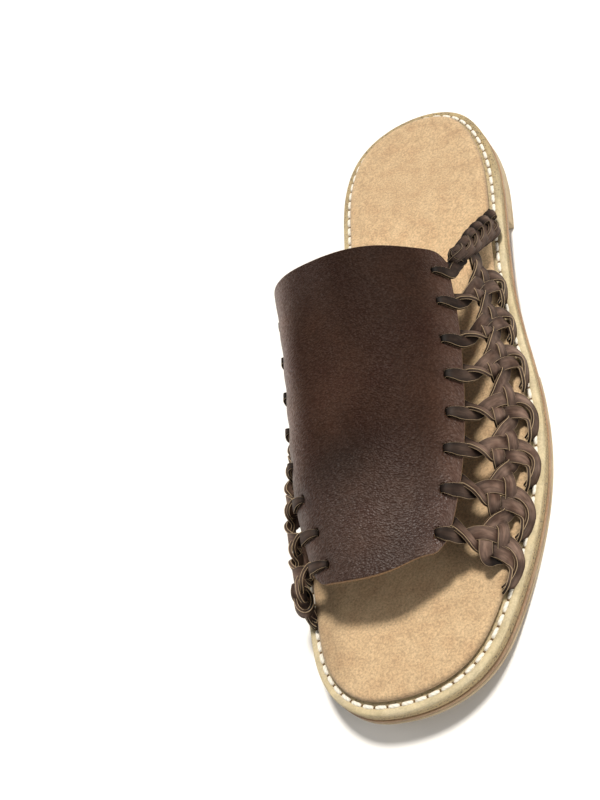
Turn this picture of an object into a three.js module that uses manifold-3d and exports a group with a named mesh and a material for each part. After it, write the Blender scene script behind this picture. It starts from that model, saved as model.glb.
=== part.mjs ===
// Slide sandal for the left foot: one leather vamp, laced along both sides to a stitched leather sole.
// Millimetres, +Z up. The toe points to -Y, the heel to +Y and the outer side of the foot to +X.
// A station is a distance from the back of the heel, measured along the shoe.

import * as THREE from 'three';
import { mergeVertices } from 'three/addons/utils/BufferGeometryUtils.js';
import Module from 'manifold-3d';

const wasm = await Module();
wasm.setup();

// Sole: length, thickness of its layers and the way it rises at heel and toe
const LENGTH = 288;
const GAP = 0.3;
const HALF_SOLE_THICKNESS = 2.0;
const OUTSOLE_THICKNESS = 2.5;
const MIDSOLE_THICKNESS = 5.7;
const HEEL_RISE = 4.2;
const TOE_SPRING = 6.0;
const HEEL_BREAST = 70;
const WAIST_END = 165;
const TOE_BREAK = 215;
const HALF_SOLE_START = 150;
const OUTSOLE_FLARE = 0.4;
const HEEL_FLARE = 0.8;
const SOLE_ROWS = 32;
const HALF_SOLE_ROWS = 26;
const HEEL_ROWS = 18;

// Outline of the midsole seen from above: inner and outer side at each station
const OUTLINE = [
  { station: 0, inner: 0.4, outer: 0.4 },
  { station: 5, inner: -20.0, outer: 18.4 },
  { station: 16, inner: -32.0, outer: 28.0 },
  { station: 45, inner: -38.8, outer: 37.5 },
  { station: 80, inner: -36.5, outer: 40.0 },
  { station: 120, inner: -37.1, outer: 43.7 },
  { station: 160, inner: -42.7, outer: 51.4 },
  { station: 195, inner: -47.9, outer: 53.2 },
  { station: 222, inner: -48.8, outer: 49.1 },
  { station: 248, inner: -44.4, outer: 41.6 },
  { station: 267, inner: -38.6, outer: 33.3 },
  { station: 281, inner: -28.3, outer: 18.7 },
  { station: 288, inner: -9.3, outer: -9.3 },
];

// Rounded top edge of the midsole and rolled edge of the insole: inset from the outline, height
const MIDSOLE_EDGE = [
  { inset: 0.0, height: -1.2 },
  { inset: 0.35, height: -0.35 },
  { inset: 1.2, height: 0.0 },
];
const INSOLE_EDGE = [
  { inset: 6.1, height: 0.0 },
  { inset: 5.4, height: 1.3 },
  { inset: 5.7, height: 2.7 },
  { inset: 7.2, height: 3.5 },
  { inset: 15.0, height: 4.0 },
];

// Last above the sole: sections at some stations, each with its outer flank, outer shoulder, crown,
// inner roll and inner wall as x and z
const SECTIONS = [
  { at: 60, flank: [31, 30], shoulder: [21.5, 46], crown: [0.5, 67.7],
    roll: [-29.5, 69.2], wall: [-49.2, 58.1] },
  { at: 96, flank: [32, 29], shoulder: [24, 43.5], crown: [1.7, 64.6],
    roll: [-28.9, 65.6], wall: [-49.1, 54.6] },
  { at: 112, flank: [33.5, 28.5], shoulder: [25.4, 41.6], crown: [2.5, 61.8],
    roll: [-28, 62.4], wall: [-48.2, 51.1] },
  { at: 145, flank: [38.5, 26], shoulder: [29.3, 38], crown: [6.8, 55.5],
    roll: [-21.7, 56.8], wall: [-42.5, 49.9] },
  { at: 175, flank: [41.5, 24], shoulder: [30.6, 35.5], crown: [7, 50.1],
    roll: [-20.8, 50.6], wall: [-41, 43.6] },
  { at: 205, flank: [40, 22.5], shoulder: [28.4, 33], crown: [5.8, 44.6],
    roll: [-19.4, 44.7], wall: [-37.8, 38.9] },
  { at: 235, flank: [34.5, 21], shoulder: [21, 29.7], crown: [2.7, 38.8],
    roll: [-17.7, 38.7], wall: [-32.3, 33.4] },
  { at: 262, flank: [27.5, 20], shoulder: [14.5, 26.7], crown: [0.1, 34.7],
    roll: [-16.3, 34.3], wall: [-27.7, 29] },
];
const SEAM_INSET = 3.2;
const SEAM_HEIGHT = 0.8;
const BED_MARGIN = 6;
const BED_ROWS = 20;

// Vamp: wall, collar and front edge; both edges as stations from its outer (0) to its inner (1) side
const VAMP_WALL = 1.8;
const COLLAR_EDGE = [
  { across: 0.00, station: 113.5 },
  { across: 0.03, station: 110.9 },
  { across: 0.12, station: 109.9 },
  { across: 0.28, station: 111.5 },
  { across: 0.45, station: 111.9 },
  { across: 0.65, station: 112.4 },
  { across: 0.75, station: 113.6 },
  { across: 0.86, station: 116.0 },
  { across: 1.00, station: 120.0 },
];
const FRONT_EDGE = [
  { across: 0.00, station: 229.0 },
  { across: 0.03, station: 232.6 },
  { across: 0.09, station: 234.9 },
  { across: 0.27, station: 240.0 },
  { across: 0.54, station: 243.2 },
  { across: 0.81, station: 243.0 },
  { across: 0.93, station: 241.4 },
  { across: 1.00, station: 237.5 },
];
const VAMP_COLUMNS = 16;
const VAMP_ROWS = 10;
const COLUMN_CROWDING = 0.55;
const SLOT_LENGTH = 6.4;
const SLOT_WIDTH = 3.7;
const SLOT_DEPTH = 6.0;

// Lace. EDGE_ON is the turn off the wall below which the lace keeps the way it faced before, and
// INNER_SWELL is how far the inner lacing stands off the last halfway down.
// Its stations on both sides have a number, the slot in the vamp, the seam of the sole, and
// how far round the last the vamp's edge and its slots lie (0 outer seam, 1 inner seam)
const LACE_WIDTH = 5.0;
const LACE_THICKNESS = 1.3;
const EDGE_ON = 0.6;
const INNER_SWELL = 4.5;
const OUTER_STATIONS = [
  { number: 0, slot: 103.5, seam: 69.5, edge: 0.333, hole: 0.373 },
  { number: 1, slot: 118, seam: 89.8, edge: 0.332, hole: 0.373 },
  { number: 2, slot: 131.9, seam: 111.3, edge: 0.33, hole: 0.374 },
  { number: 3, slot: 149.2, seam: 129.4, edge: 0.332, hole: 0.377 },
  { number: 4, slot: 164.3, seam: 150.1, edge: 0.334, hole: 0.375 },
  { number: 5, slot: 180.2, seam: 175.1, edge: 0.333, hole: 0.373 },
  { number: 6, slot: 194.8, seam: 195.7, edge: 0.334, hole: 0.377 },
  { number: 7, slot: 210.2, seam: 217.4, edge: 0.333, hole: 0.375 },
  { number: 8, slot: 226.4, seam: 237.2, edge: 0.335, hole: 0.369 },
  { number: 9, slot: 241.5, seam: 257, edge: 0.345, hole: 0.375 },
];
const INNER_STATIONS = [
  { number: 0, slot: 112, seam: 78, edge: 0.873, hole: 0.845 },
  { number: 1, slot: 128, seam: 99, edge: 0.873, hole: 0.845 },
  { number: 2, slot: 146, seam: 120, edge: 0.873, hole: 0.845 },
  { number: 3, slot: 161.5, seam: 141, edge: 0.873, hole: 0.845 },
  { number: 4, slot: 176.5, seam: 162, edge: 0.873, hole: 0.845 },
  { number: 5, slot: 191.7, seam: 183, edge: 0.87, hole: 0.84 },
  { number: 6, slot: 208.2, seam: 204, edge: 0.852, hole: 0.798 },
  { number: 7, slot: 222.5, seam: 224, edge: 0.832, hole: 0.758 },
  { number: 8, slot: 235, seam: 242.6, edge: 0.81, hole: 0.731 },
  { number: 9, slot: 246, seam: 261, edge: 0.8, hole: 0.72 },
];
const LAST_STATION = 8;

// Route of one loop of lace: from the seam up to the vamp, through its slot, and back to the seam.
// across: 1 at the seam, 0 at the vamp's edge, -1 at the slot; along: in stations; lift: off the wall
const LOOP_OVER = [
  { across: 0.965, along: 0.3, lift: 1.0 },
  { across: 1.0, along: -0.02, lift: 1.9 },
  { across: 0.9, along: -0.29, lift: 1.5 },
  { across: 0.69, along: -0.39, lift: -0.8 },
  { across: 0.4, along: -0.29, lift: 1.1 },
  { across: 0.18, along: -0.08, lift: -0.9 },
];
const LOOP_SLOT = [
  { across: 0.05, along: 0.06, lift: 2.3 },
  { across: -0.72, along: 0.06, lift: 2.3 },
  { across: -1.08, along: 0.05, lift: 0.0 },
  { across: -0.72, along: 0.04, lift: -2.35 },
  { across: 0.08, along: -0.2, lift: -2.4 },
];
const LOOP_UNDER = [
  { across: 0.17, along: -0.12, lift: 0.8 },
  { across: 0.26, along: -0.03, lift: 0.8 },
  { across: 0.45, along: -0.03, lift: -0.9 },
  { across: 0.72, along: -0.085, lift: 0.8 },
  { across: 0.87, along: -0.02, lift: 0.8 },
  { across: 0.93, along: 0.34, lift: 0.0 },
];

// Two strands run along the wall and cross each other between the loops; this repeats every two stations
const STRAND = [
  { across: 0.63, along: -0.46, lift: 0.9 },
  { across: 0.7, along: -0.06, lift: -0.6 },
  { across: 0.53, along: 0.3, lift: 0.9 },
  { across: 0.4, along: 0.74, lift: -0.8 },
  { across: 0.42, along: 0.98, lift: 0.9 },
  { across: 0.5, along: 1.18, lift: -0.8 },
];
// Bight that joins the two strands under the foremost loop
const BIGHT = [
  { across: 0.45, along: 0.16, lift: 0.6 },
  { across: 0.5, along: 0.21, lift: -0.6 },
  { across: 0.6, along: 0.1, lift: -1.0 },
];

// Flat plait of four strands, one wall from the rear of the lacing down to the sole beside the heel
const PLAIT_STRANDS = 4;
const PLAIT_ROWS = 13;
const PLAIT_COLUMNS = 8;
const PLAIT_TURNS = 1.4;
const PLAIT_WIDTH = [0.32, 0.4];
const PLAIT_BACK = -0.9;
const PLAIT_FRONT = 0.3;
const PLAIT_RELIEF = 1.5;
const PLAIT_SWAY = 0.62;
const PLAIT_STRAND_HALF = 0.4;
const PLAIT_LEVEL = 0.6;
const PLAIT_TOP = { across: 0.2, along: 0.42 };
const PLAIT_FOOT = { across: 0.98, along: 0.35 };

// Ends of lace that run into the plait
const REAR_OVER = [
  { across: 0.42, along: -0.45, lift: 0.0 },
  { across: 0.16, along: -0.25, lift: -0.2 },
];
const REAR_UNDER = [
  { across: 0.18, along: -0.3, lift: -0.1 },
  { across: 0.25, along: -0.34, lift: 0.7 },
  { across: 0.42, along: -0.6, lift: 0.0 },
];
const STRAND_STARTS = [
  { across: 0.46, along: 0.6, lift: 0.0 },
  { across: 0.56, along: 0.62, lift: 0.0 },
];
const STRAND_SPANS = [
  { first: 0, from: 0.8, to: 8.0 },
  { first: 1, from: 1.1, to: 8.1 },
];

const COLOURS = {
  half_sole: 0xcbb29c,
  heel_lift: 0xc9ae98,
  outsole: 0x8b623f,
  midsole: 0xd9c6a0,
  insole: 0xc4a678,
  vamp: 0x3d2a26,
  lace: 0x3a2925,
};

const lerp = THREE.MathUtils.lerp;

// Natural cubic spline through the given values, straight beyond its ends
function spline(xs, ys) {
  const last = xs.length - 1;
  const bend = xs.map(() => 0);
  const carry = xs.map(() => 0);
  for (let i = 1; i < last; i += 1) {
    const reach = xs[i + 1] - xs[i - 1];
    const share = (xs[i] - xs[i - 1]) / reach;
    const pivot = share * bend[i - 1] + 2;
    const turn = (ys[i + 1] - ys[i]) / (xs[i + 1] - xs[i]) - (ys[i] - ys[i - 1]) / (xs[i] - xs[i - 1]);
    bend[i] = (share - 1) / pivot;
    carry[i] = (6 * turn / reach - share * carry[i - 1]) / pivot;
  }
  bend[last] = 0;
  for (let i = last - 1; i >= 0; i -= 1) {
    bend[i] = bend[i] * bend[i + 1] + carry[i];
  }
  return (x) => {
    const inside = THREE.MathUtils.clamp(x, xs[0], xs[last]);
    let i = 0;
    while (i < last - 1 && inside > xs[i + 1]) {
      i += 1;
    }
    const width = xs[i + 1] - xs[i];
    const b = (inside - xs[i]) / width;
    const a = 1 - b;
    const curve = ((a ** 3 - a) * bend[i] + (b ** 3 - b) * bend[i + 1]) * width * width / 6;
    const slope = (ys[i + 1] - ys[i]) / width
      + ((1 - 3 * a * a) * bend[i] + (3 * b * b - 1) * bend[i + 1]) * width / 6;
    return a * ys[i] + b * ys[i + 1] + curve + slope * (x - inside);
  };
}

function column(table, key, name) {
  return spline(table.map((row) => row[key]), table.map((row) => row[name]));
}

// Closed mesh from points and triangles, turned so that its faces point out
function closedMesh(points, triangles) {
  let volume = 0;
  for (const [a, b, c] of triangles) {
    volume += points[a].dot(new THREE.Vector3().crossVectors(points[b], points[c]));
  }
  const outward = volume > 0 ? triangles : triangles.map(([a, b, c]) => [a, c, b]);
  const geometry = new THREE.BufferGeometry();
  geometry.setAttribute('position', new THREE.Float32BufferAttribute(points.flatMap((p) => p.toArray()), 3));
  geometry.setIndex(outward.flat());
  return geometry;
}

function toSolid(geometry) {
  const bare = geometry.clone();
  bare.deleteAttribute('normal');
  bare.deleteAttribute('uv');
  const merged = mergeVertices(bare);
  return new wasm.Manifold(new wasm.Mesh({
    numProp: 3,
    vertProperties: new Float32Array(merged.attributes.position.array),
    triVerts: new Uint32Array(merged.index.array),
  }));
}

function fromSolid(solid) {
  const mesh = solid.getMesh();
  const geometry = new THREE.BufferGeometry();
  geometry.setAttribute('position', new THREE.Float32BufferAttribute(mesh.vertProperties, 3));
  geometry.setIndex(Array.from(mesh.triVerts));
  return geometry;
}

// Outer skin of a joined solid, with the small hollows sealed between its strips filled in
function outerSkin(solid) {
  const shells = solid.decompose();
  const volumes = shells.map((shell) => shell.volume());
  return shells[volumes.indexOf(Math.max(...volumes))];
}

// Sole: outline, rise and layers

const outlineTurns = OUTLINE.map((row) => Math.acos(1 - 2 * row.station / LENGTH));
const innerSide = spline(outlineTurns, OUTLINE.map((row) => row.inner));
const outerSide = spline(outlineTurns, OUTLINE.map((row) => row.outer));

function turnAt(station) {
  return Math.acos(1 - 2 * THREE.MathUtils.clamp(station / LENGTH, 0, 1));
}

// How far the sole is lifted off the ground at a station
function rise(station) {
  const waist = 1 - THREE.MathUtils.smoothstep(station, HEEL_BREAST, WAIST_END);
  const toe = THREE.MathUtils.clamp((station - TOE_BREAK) / (LENGTH - TOE_BREAK), 0, 1);
  return HEEL_RISE * waist + TOE_SPRING * toe * toe;
}

const OUTSOLE_BOTTOM = HALF_SOLE_THICKNESS;
const MIDSOLE_BOTTOM = OUTSOLE_BOTTOM + OUTSOLE_THICKNESS;
const MIDSOLE_TOP = MIDSOLE_BOTTOM + MIDSOLE_THICKNESS;

// Outline as a closed loop: turn 0 at the heel, pi at the toe, the inner side first
function outlineAt(turn) {
  const full = 2 * Math.PI;
  const t = ((turn % full) + full) % full;
  const x = t <= Math.PI ? innerSide(t) : outerSide(full - t);
  return new THREE.Vector2(x, LENGTH / 2 * Math.cos(t));
}

function insetOutline(turn, inset) {
  const step = 0.004;
  const along = outlineAt(turn + step).sub(outlineAt(turn - step)).normalize();
  const outward = new THREE.Vector2(along.y, -along.x);
  return outlineAt(turn).addScaledVector(outward, -inset);
}

// Layer of the sole between two stations, lofted through its levels from the bottom to the top
function soleLayer(from, to, rows, levels) {
  const inner = [];
  const outer = [];
  for (let i = 0; i <= rows; i += 1) {
    const turn = lerp(turnAt(from), turnAt(to), i / rows);
    inner.push(turn);
    outer.push(2 * Math.PI - turn);
  }
  const heelTip = from <= 0;
  const toeTip = to >= LENGTH;
  const back = outer.slice(heelTip ? 1 : 0, toeTip ? rows : rows + 1).reverse();
  const turns = [...inner, ...back];
  const count = turns.length;
  const points = [];
  for (const level of levels) {
    for (const turn of turns) {
      const spot = insetOutline(turn, level.inset);
      points.push(new THREE.Vector3(spot.x, spot.y, level.height(LENGTH / 2 - spot.y)));
    }
  }
  const partner = (i) => {
    const mirrored = heelTip ? count - i : count - 1 - i;
    return (i === 0 && heelTip) || (i === rows && toeTip) ? i : mirrored;
  };
  const triangles = [];
  const cap = (base) => {
    for (let i = 0; i < rows; i += 1) {
      const quad = [i, i + 1, partner(i + 1), partner(i)].map((k) => k + base);
      if (quad[1] !== quad[2]) {
        triangles.push([quad[0], quad[1], quad[2]]);
      }
      if (quad[0] !== quad[3]) {
        triangles.push([quad[0], quad[2], quad[3]]);
      }
    }
  };
  cap(0);
  const bottomCap = triangles.length;
  cap((levels.length - 1) * count);
  for (let i = bottomCap; i < triangles.length; i += 1) {
    triangles[i].reverse();
  }
  for (let k = 0; k + 1 < levels.length; k += 1) {
    for (let i = 0; i < count; i += 1) {
      const next = (i + 1) % count;
      const low = k * count;
      const high = low + count;
      triangles.push([low + next, low + i, high + i], [low + next, high + i, high + next]);
    }
  }
  return closedMesh(points, triangles);
}

const onRise = (height) => (station) => rise(station) + height;

function halfSole() {
  return soleLayer(HALF_SOLE_START, LENGTH, HALF_SOLE_ROWS, [
    { inset: -OUTSOLE_FLARE, height: onRise(0) },
    { inset: -OUTSOLE_FLARE, height: onRise(OUTSOLE_BOTTOM - GAP) },
  ]);
}

function heelLift() {
  return soleLayer(0, HEEL_BREAST, HEEL_ROWS, [
    { inset: -HEEL_FLARE, height: () => 0 },
    { inset: -OUTSOLE_FLARE, height: onRise(OUTSOLE_BOTTOM - GAP) },
  ]);
}

function outsole() {
  return soleLayer(0, LENGTH, SOLE_ROWS, [
    { inset: -OUTSOLE_FLARE, height: onRise(OUTSOLE_BOTTOM) },
    { inset: -OUTSOLE_FLARE, height: onRise(MIDSOLE_BOTTOM - GAP) },
  ]);
}

function midsole() {
  const edge = MIDSOLE_EDGE.map((row) => ({ inset: row.inset, height: onRise(MIDSOLE_TOP + row.height) }));
  return soleLayer(0, LENGTH, SOLE_ROWS, [{ inset: 0, height: onRise(MIDSOLE_BOTTOM) }, ...edge]);
}

function insole() {
  const base = MIDSOLE_TOP + GAP;
  const edge = INSOLE_EDGE.map((row) => ({ inset: row.inset, height: onRise(base + row.height) }));
  return soleLayer(0, LENGTH, SOLE_ROWS, edge);
}

// Room that the lace leaves for the sole where it is tucked into the seam
function seamBed() {
  return soleLayer(0, LENGTH, BED_ROWS, [
    { inset: -BED_MARGIN, height: () => 0 },
    { inset: -BED_MARGIN, height: onRise(MIDSOLE_TOP + GAP) },
  ]);
}

// Last: the surface that the vamp and the lacing lie on, from the outer seam (0) to the inner seam (1)

const sectionStations = SECTIONS.map((row) => row.at);
const sectionPoints = ['flank', 'shoulder', 'crown', 'roll', 'wall'].map((name) => ({
  x: spline(sectionStations, SECTIONS.map((row) => row[name][0])),
  z: spline(sectionStations, SECTIONS.map((row) => row[name][1])),
}));
const sectionSteps = [0, 1, 2, 3, 4, 5, 6].map((i) => i / 6);

function lastPoint(station, round) {
  const turn = turnAt(station);
  const seam = rise(station) + MIDSOLE_TOP + SEAM_HEIGHT;
  const xs = sectionPoints.map((point) => point.x(station));
  const zs = sectionPoints.map((point) => point.z(station));
  xs.unshift(outerSide(turn) - SEAM_INSET);
  zs.unshift(seam);
  xs.push(innerSide(turn) + SEAM_INSET);
  zs.push(seam);
  const x = spline(sectionSteps, xs)(round);
  const z = spline(sectionSteps, zs)(round);
  return new THREE.Vector3(x, LENGTH / 2 - station, z);
}

// Frame on the last: the point, the direction along the shoe and the outward normal
function lastFrame(station, round) {
  const step = 0.5;
  const turn = 0.005;
  const along = lastPoint(station + step, round).sub(lastPoint(station - step, round)).normalize();
  const across = lastPoint(station, round + turn).sub(lastPoint(station, round - turn)).normalize();
  const normal = new THREE.Vector3().crossVectors(across, along).normalize();
  return { point: lastPoint(station, round), along, normal };
}

function liftOff(frame, lift) {
  return frame.point.clone().addScaledVector(frame.normal, lift);
}

// Vamp: a curved wall between its two side edges, its collar and its front edge, with slots for the lace

const collarEdge = column(COLLAR_EDGE, 'across', 'station');
const frontEdge = column(FRONT_EDGE, 'across', 'station');
const outerEdge = column(OUTER_STATIONS, 'slot', 'edge');
const innerEdge = column(INNER_STATIONS, 'slot', 'edge');

function vampFrame(across, down) {
  const station = lerp(collarEdge(across), frontEdge(across), down);
  return lastFrame(station, lerp(outerEdge(station), innerEdge(station), across));
}

// Columns stand closer together near the rounded front corners
function vampColumn(i) {
  const even = i / VAMP_COLUMNS;
  return even - COLUMN_CROWDING * Math.sin(2 * Math.PI * even) / (2 * Math.PI);
}

function vampWall() {
  const points = [];
  const rowLength = VAMP_ROWS + 1;
  for (const lift of [VAMP_WALL / 2, -VAMP_WALL / 2]) {
    for (let i = 0; i <= VAMP_COLUMNS; i += 1) {
      for (let j = 0; j <= VAMP_ROWS; j += 1) {
        points.push(liftOff(vampFrame(vampColumn(i), j / VAMP_ROWS), lift));
      }
    }
  }
  const under = points.length / 2;
  const triangles = [];
  for (let i = 0; i < VAMP_COLUMNS; i += 1) {
    for (let j = 0; j < VAMP_ROWS; j += 1) {
      const a = i * rowLength + j;
      const b = a + rowLength;
      triangles.push([a, b, b + 1], [a, b + 1, a + 1]);
      triangles.push([under + a, under + b + 1, under + b], [under + a, under + a + 1, under + b + 1]);
    }
  }
  const border = [];
  for (let i = 0; i < VAMP_COLUMNS; i += 1) {
    border.push(i * rowLength);
  }
  for (let j = 0; j < VAMP_ROWS; j += 1) {
    border.push(VAMP_COLUMNS * rowLength + j);
  }
  for (let i = VAMP_COLUMNS; i > 0; i -= 1) {
    border.push(i * rowLength + VAMP_ROWS);
  }
  for (let j = VAMP_ROWS; j > 0; j -= 1) {
    border.push(j);
  }
  border.forEach((a, k) => {
    const b = border[(k + 1) % border.length];
    triangles.push([a, under + a, under + b], [a, under + b, b]);
  });
  return closedMesh(points, triangles);
}

function slotCutter(side, number) {
  const passage = LOOP_SLOT.find((row) => row.lift === 0);
  const frame = side.frame(number + passage.along, -1);
  const across = new THREE.Vector3().crossVectors(frame.normal, frame.along).normalize();
  const box = new THREE.BoxGeometry(SLOT_LENGTH, SLOT_WIDTH, SLOT_DEPTH);
  const basis = new THREE.Matrix4().makeBasis(frame.along, across, frame.normal);
  box.applyMatrix4(basis.setPosition(frame.point));
  return box;
}

function vamp() {
  let solid = toSolid(vampWall());
  for (const side of [outerLacing, innerLacing]) {
    for (let number = 1; number <= LAST_STATION; number += 1) {
      solid = solid.subtract(toSolid(slotCutter(side, number)));
    }
  }
  return fromSolid(solid);
}

// Lacing: flat lace laid on the last, looped through the slots and plaited along the wall

function lacingSide(stations, seamRound, swell) {
  const slot = column(stations, 'number', 'slot');
  const seam = column(stations, 'number', 'seam');
  const edge = column(stations, 'number', 'edge');
  const hole = column(stations, 'number', 'hole');
  const frame = (number, across) => {
    const station = lerp(slot(number), seam(number), Math.max(across, 0));
    const goal = across < 0 ? hole(number) : seamRound;
    const place = lastFrame(station, lerp(edge(number), goal, Math.abs(across)));
    const halfTurn = Math.PI * THREE.MathUtils.clamp(across, 0, 1);
    place.point.addScaledVector(place.normal, swell * Math.sin(halfTurn) ** 2);
    return place;
  };
  return { frame };
}

const outerLacing = lacingSide(OUTER_STATIONS, 0, 0);
const innerLacing = lacingSide(INNER_STATIONS, 1, INNER_SWELL);

// Flat strip along a route; its broad face follows the wall, and turns with the lace through a slot
function strip(side, route) {
  const frames = route.map((row) => side.frame(row.number, row.across));
  const centres = frames.map((frame, i) => liftOff(frame, route[i].lift));
  const last = route.length - 1;
  const points = [];
  let broad = null;
  centres.forEach((centre, i) => {
    const ahead = centres[Math.min(i + 1, last)].clone().sub(centre).normalize();
    const behind = centre.clone().sub(centres[Math.max(i - 1, 0)]).normalize();
    const tangent = ahead.add(behind).normalize();
    const level = new THREE.Vector3().crossVectors(frames[i].normal, tangent);
    if (broad && level.length() < EDGE_ON) {
      broad = broad.clone().addScaledVector(tangent, -broad.dot(tangent)).normalize();
    } else {
      const flipped = broad && level.dot(broad) < 0;
      broad = (flipped ? level.negate() : level).normalize();
    }
    const flat = new THREE.Vector3().crossVectors(tangent, broad).normalize();
    for (const [w, t] of [[-0.5, -0.5], [0.5, -0.5], [0.5, 0.5], [-0.5, 0.5]]) {
      const corner = centre.clone().addScaledVector(broad, w * LACE_WIDTH);
      points.push(corner.addScaledVector(flat, t * LACE_THICKNESS));
    }
  });
  const triangles = [[0, 2, 1], [0, 3, 2]];
  for (let i = 0; i < last; i += 1) {
    for (let k = 0; k < 4; k += 1) {
      const a = i * 4 + k;
      const b = i * 4 + (k + 1) % 4;
      triangles.push([a, b, b + 4], [a, b + 4, a + 4]);
    }
  }
  const end = last * 4;
  triangles.push([end, end + 1, end + 2], [end, end + 2, end + 3]);
  return closedMesh(points, triangles);
}

function atStation(rows, number) {
  return rows.map((row) => ({ number: number + row.along, across: row.across, lift: row.lift }));
}

// Wall of the rear plait; each strand sways from side to side and passes over and under the others
function plaitWall(side) {
  const relief = (sway, down) => {
    let height = 0;
    for (let k = 0; k < PLAIT_STRANDS; k += 1) {
      const phase = 2 * Math.PI * (down * PLAIT_TURNS + k / PLAIT_STRANDS);
      const offset = (sway - PLAIT_SWAY * Math.cos(phase)) / PLAIT_STRAND_HALF;
      const raised = PLAIT_LEVEL + (1 - PLAIT_LEVEL) * Math.sin(2 * phase);
      height = Math.max(height, raised * (1 - offset * offset));
    }
    return height;
  };
  const points = [];
  for (let i = 0; i <= PLAIT_ROWS; i += 1) {
    const down = i / PLAIT_ROWS;
    const half = lerp(PLAIT_WIDTH[0], PLAIT_WIDTH[1], down);
    const across = lerp(PLAIT_TOP.across, PLAIT_FOOT.across, down);
    for (let j = 0; j <= PLAIT_COLUMNS; j += 1) {
      const sway = 2 * j / PLAIT_COLUMNS - 1;
      const frame = side.frame(lerp(PLAIT_TOP.along, PLAIT_FOOT.along, down) + half * sway, across);
      points.push(liftOff(frame, PLAIT_FRONT + PLAIT_RELIEF * relief(sway, down)));
    }
    for (const sway of [-1, 1]) {
      const frame = side.frame(lerp(PLAIT_TOP.along, PLAIT_FOOT.along, down) + half * sway, across);
      points.push(liftOff(frame, PLAIT_BACK));
    }
  }
  const row = PLAIT_COLUMNS + 3;
  const ring = [...Array(PLAIT_COLUMNS + 1).keys(), PLAIT_COLUMNS + 2, PLAIT_COLUMNS + 1];
  const triangles = [];
  for (let i = 0; i < PLAIT_ROWS; i += 1) {
    ring.forEach((a, k) => {
      const b = ring[(k + 1) % ring.length];
      const low = i * row;
      triangles.push([low + a, low + b, low + row + b], [low + a, low + row + b, low + row + a]);
    });
  }
  for (let k = 1; k + 1 < ring.length; k += 1) {
    const end = PLAIT_ROWS * row;
    triangles.push([ring[0], ring[k + 1], ring[k]], [end + ring[0], end + ring[k], end + ring[k + 1]]);
  }
  return closedMesh(points, triangles);
}

// Rows of a strand along the wall, within its span of station numbers
function strandRows(span) {
  const rows = [];
  for (let number = span.first; number <= LAST_STATION; number += 2) {
    rows.push(...atStation(STRAND, number));
  }
  return rows.filter((row) => row.number > span.from && row.number < span.to);
}

// The first strand ends at the far side of the bight, the second turns under the first
function strandRoutes() {
  const starts = atStation(STRAND_STARTS, 0);
  const bight = atStation(BIGHT, LAST_STATION);
  const [first, second] = STRAND_SPANS.map((span, i) => [starts[i], ...strandRows(span)]);
  return [[...first, ...bight.toReversed()], [...second, ...bight.slice(0, 2)]];
}

function lacing(side) {
  const routes = strandRoutes();
  routes.push(atStation([...REAR_OVER, ...LOOP_SLOT, ...REAR_UNDER], 1));
  for (let number = 2; number <= LAST_STATION; number += 1) {
    routes.push(atStation([...LOOP_OVER, ...LOOP_SLOT, ...LOOP_UNDER], number));
  }
  let solid = toSolid(plaitWall(side));
  for (const route of routes) {
    solid = solid.add(toSolid(strip(side, route)));
  }
  return fromSolid(outerSkin(solid.subtract(toSolid(seamBed()))));
}

// Assembly, with its origin under the middle of its box

function piece(name, geometry, colour, roughness) {
  const material = new THREE.MeshStandardMaterial({ color: colour, roughness, metalness: 0 });
  const mesh = new THREE.Mesh(geometry, material);
  mesh.name = name;
  return mesh;
}

const shoe = new THREE.Group();
shoe.add(piece('half_sole', halfSole(), COLOURS.half_sole, 0.7));
shoe.add(piece('heel_lift', heelLift(), COLOURS.heel_lift, 0.7));
shoe.add(piece('outsole', outsole(), COLOURS.outsole, 0.55));
shoe.add(piece('midsole', midsole(), COLOURS.midsole, 0.7));
shoe.add(piece('insole', insole(), COLOURS.insole, 0.9));
shoe.add(piece('vamp', vamp(), COLOURS.vamp, 0.5));
shoe.add(piece('lacing_outer', lacing(outerLacing), COLOURS.lace, 0.6));
shoe.add(piece('lacing_inner', lacing(innerLacing), COLOURS.lace, 0.6));

const box = new THREE.Box3().setFromObject(shoe);
const middle = box.getCenter(new THREE.Vector3());
shoe.position.set(-middle.x, -middle.y, -box.min.z);

export default shoe;
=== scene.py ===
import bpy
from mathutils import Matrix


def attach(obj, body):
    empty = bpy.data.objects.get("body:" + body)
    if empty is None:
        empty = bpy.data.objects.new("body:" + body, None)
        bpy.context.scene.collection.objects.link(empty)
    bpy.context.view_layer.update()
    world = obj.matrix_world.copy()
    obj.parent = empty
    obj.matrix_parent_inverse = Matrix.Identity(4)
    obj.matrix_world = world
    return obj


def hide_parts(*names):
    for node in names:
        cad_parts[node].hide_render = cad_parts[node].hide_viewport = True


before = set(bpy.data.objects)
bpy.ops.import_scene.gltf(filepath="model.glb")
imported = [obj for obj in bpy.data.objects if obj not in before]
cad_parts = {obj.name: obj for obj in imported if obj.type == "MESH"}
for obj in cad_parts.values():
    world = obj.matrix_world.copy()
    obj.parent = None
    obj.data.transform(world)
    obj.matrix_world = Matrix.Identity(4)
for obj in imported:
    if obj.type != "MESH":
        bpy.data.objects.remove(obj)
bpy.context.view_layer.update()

import math

import bpy
import numpy as np
from mathutils import Matrix, Vector

bl_info = {
    "name": "Laced slide sandal",
    "version": (1, 0, 0),
    "blender": (4, 5, 0),
    "location": "View3D > Sidebar > Sandal",
    "description": "Leather slide sandal with a laced vamp, built on its packed solids",
    "category": "Object",
}

# Lengths in this file are millimetres, in the frame of the last: toe to -Y, outer side of the foot
# to +X, ground at 0. A station is a distance from the back of the heel, along the shoe.
MM = 0.001
LAST_TO_PART = np.array([-2.011, -0.200, 0.0])
# Steps that slopes are measured over: along the outline, along the shoe and round the last
TURN_STEP = 0.004
STATION_STEP = 0.5
ROUND_STEP = 0.005
TINY = 1e-6

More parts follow.
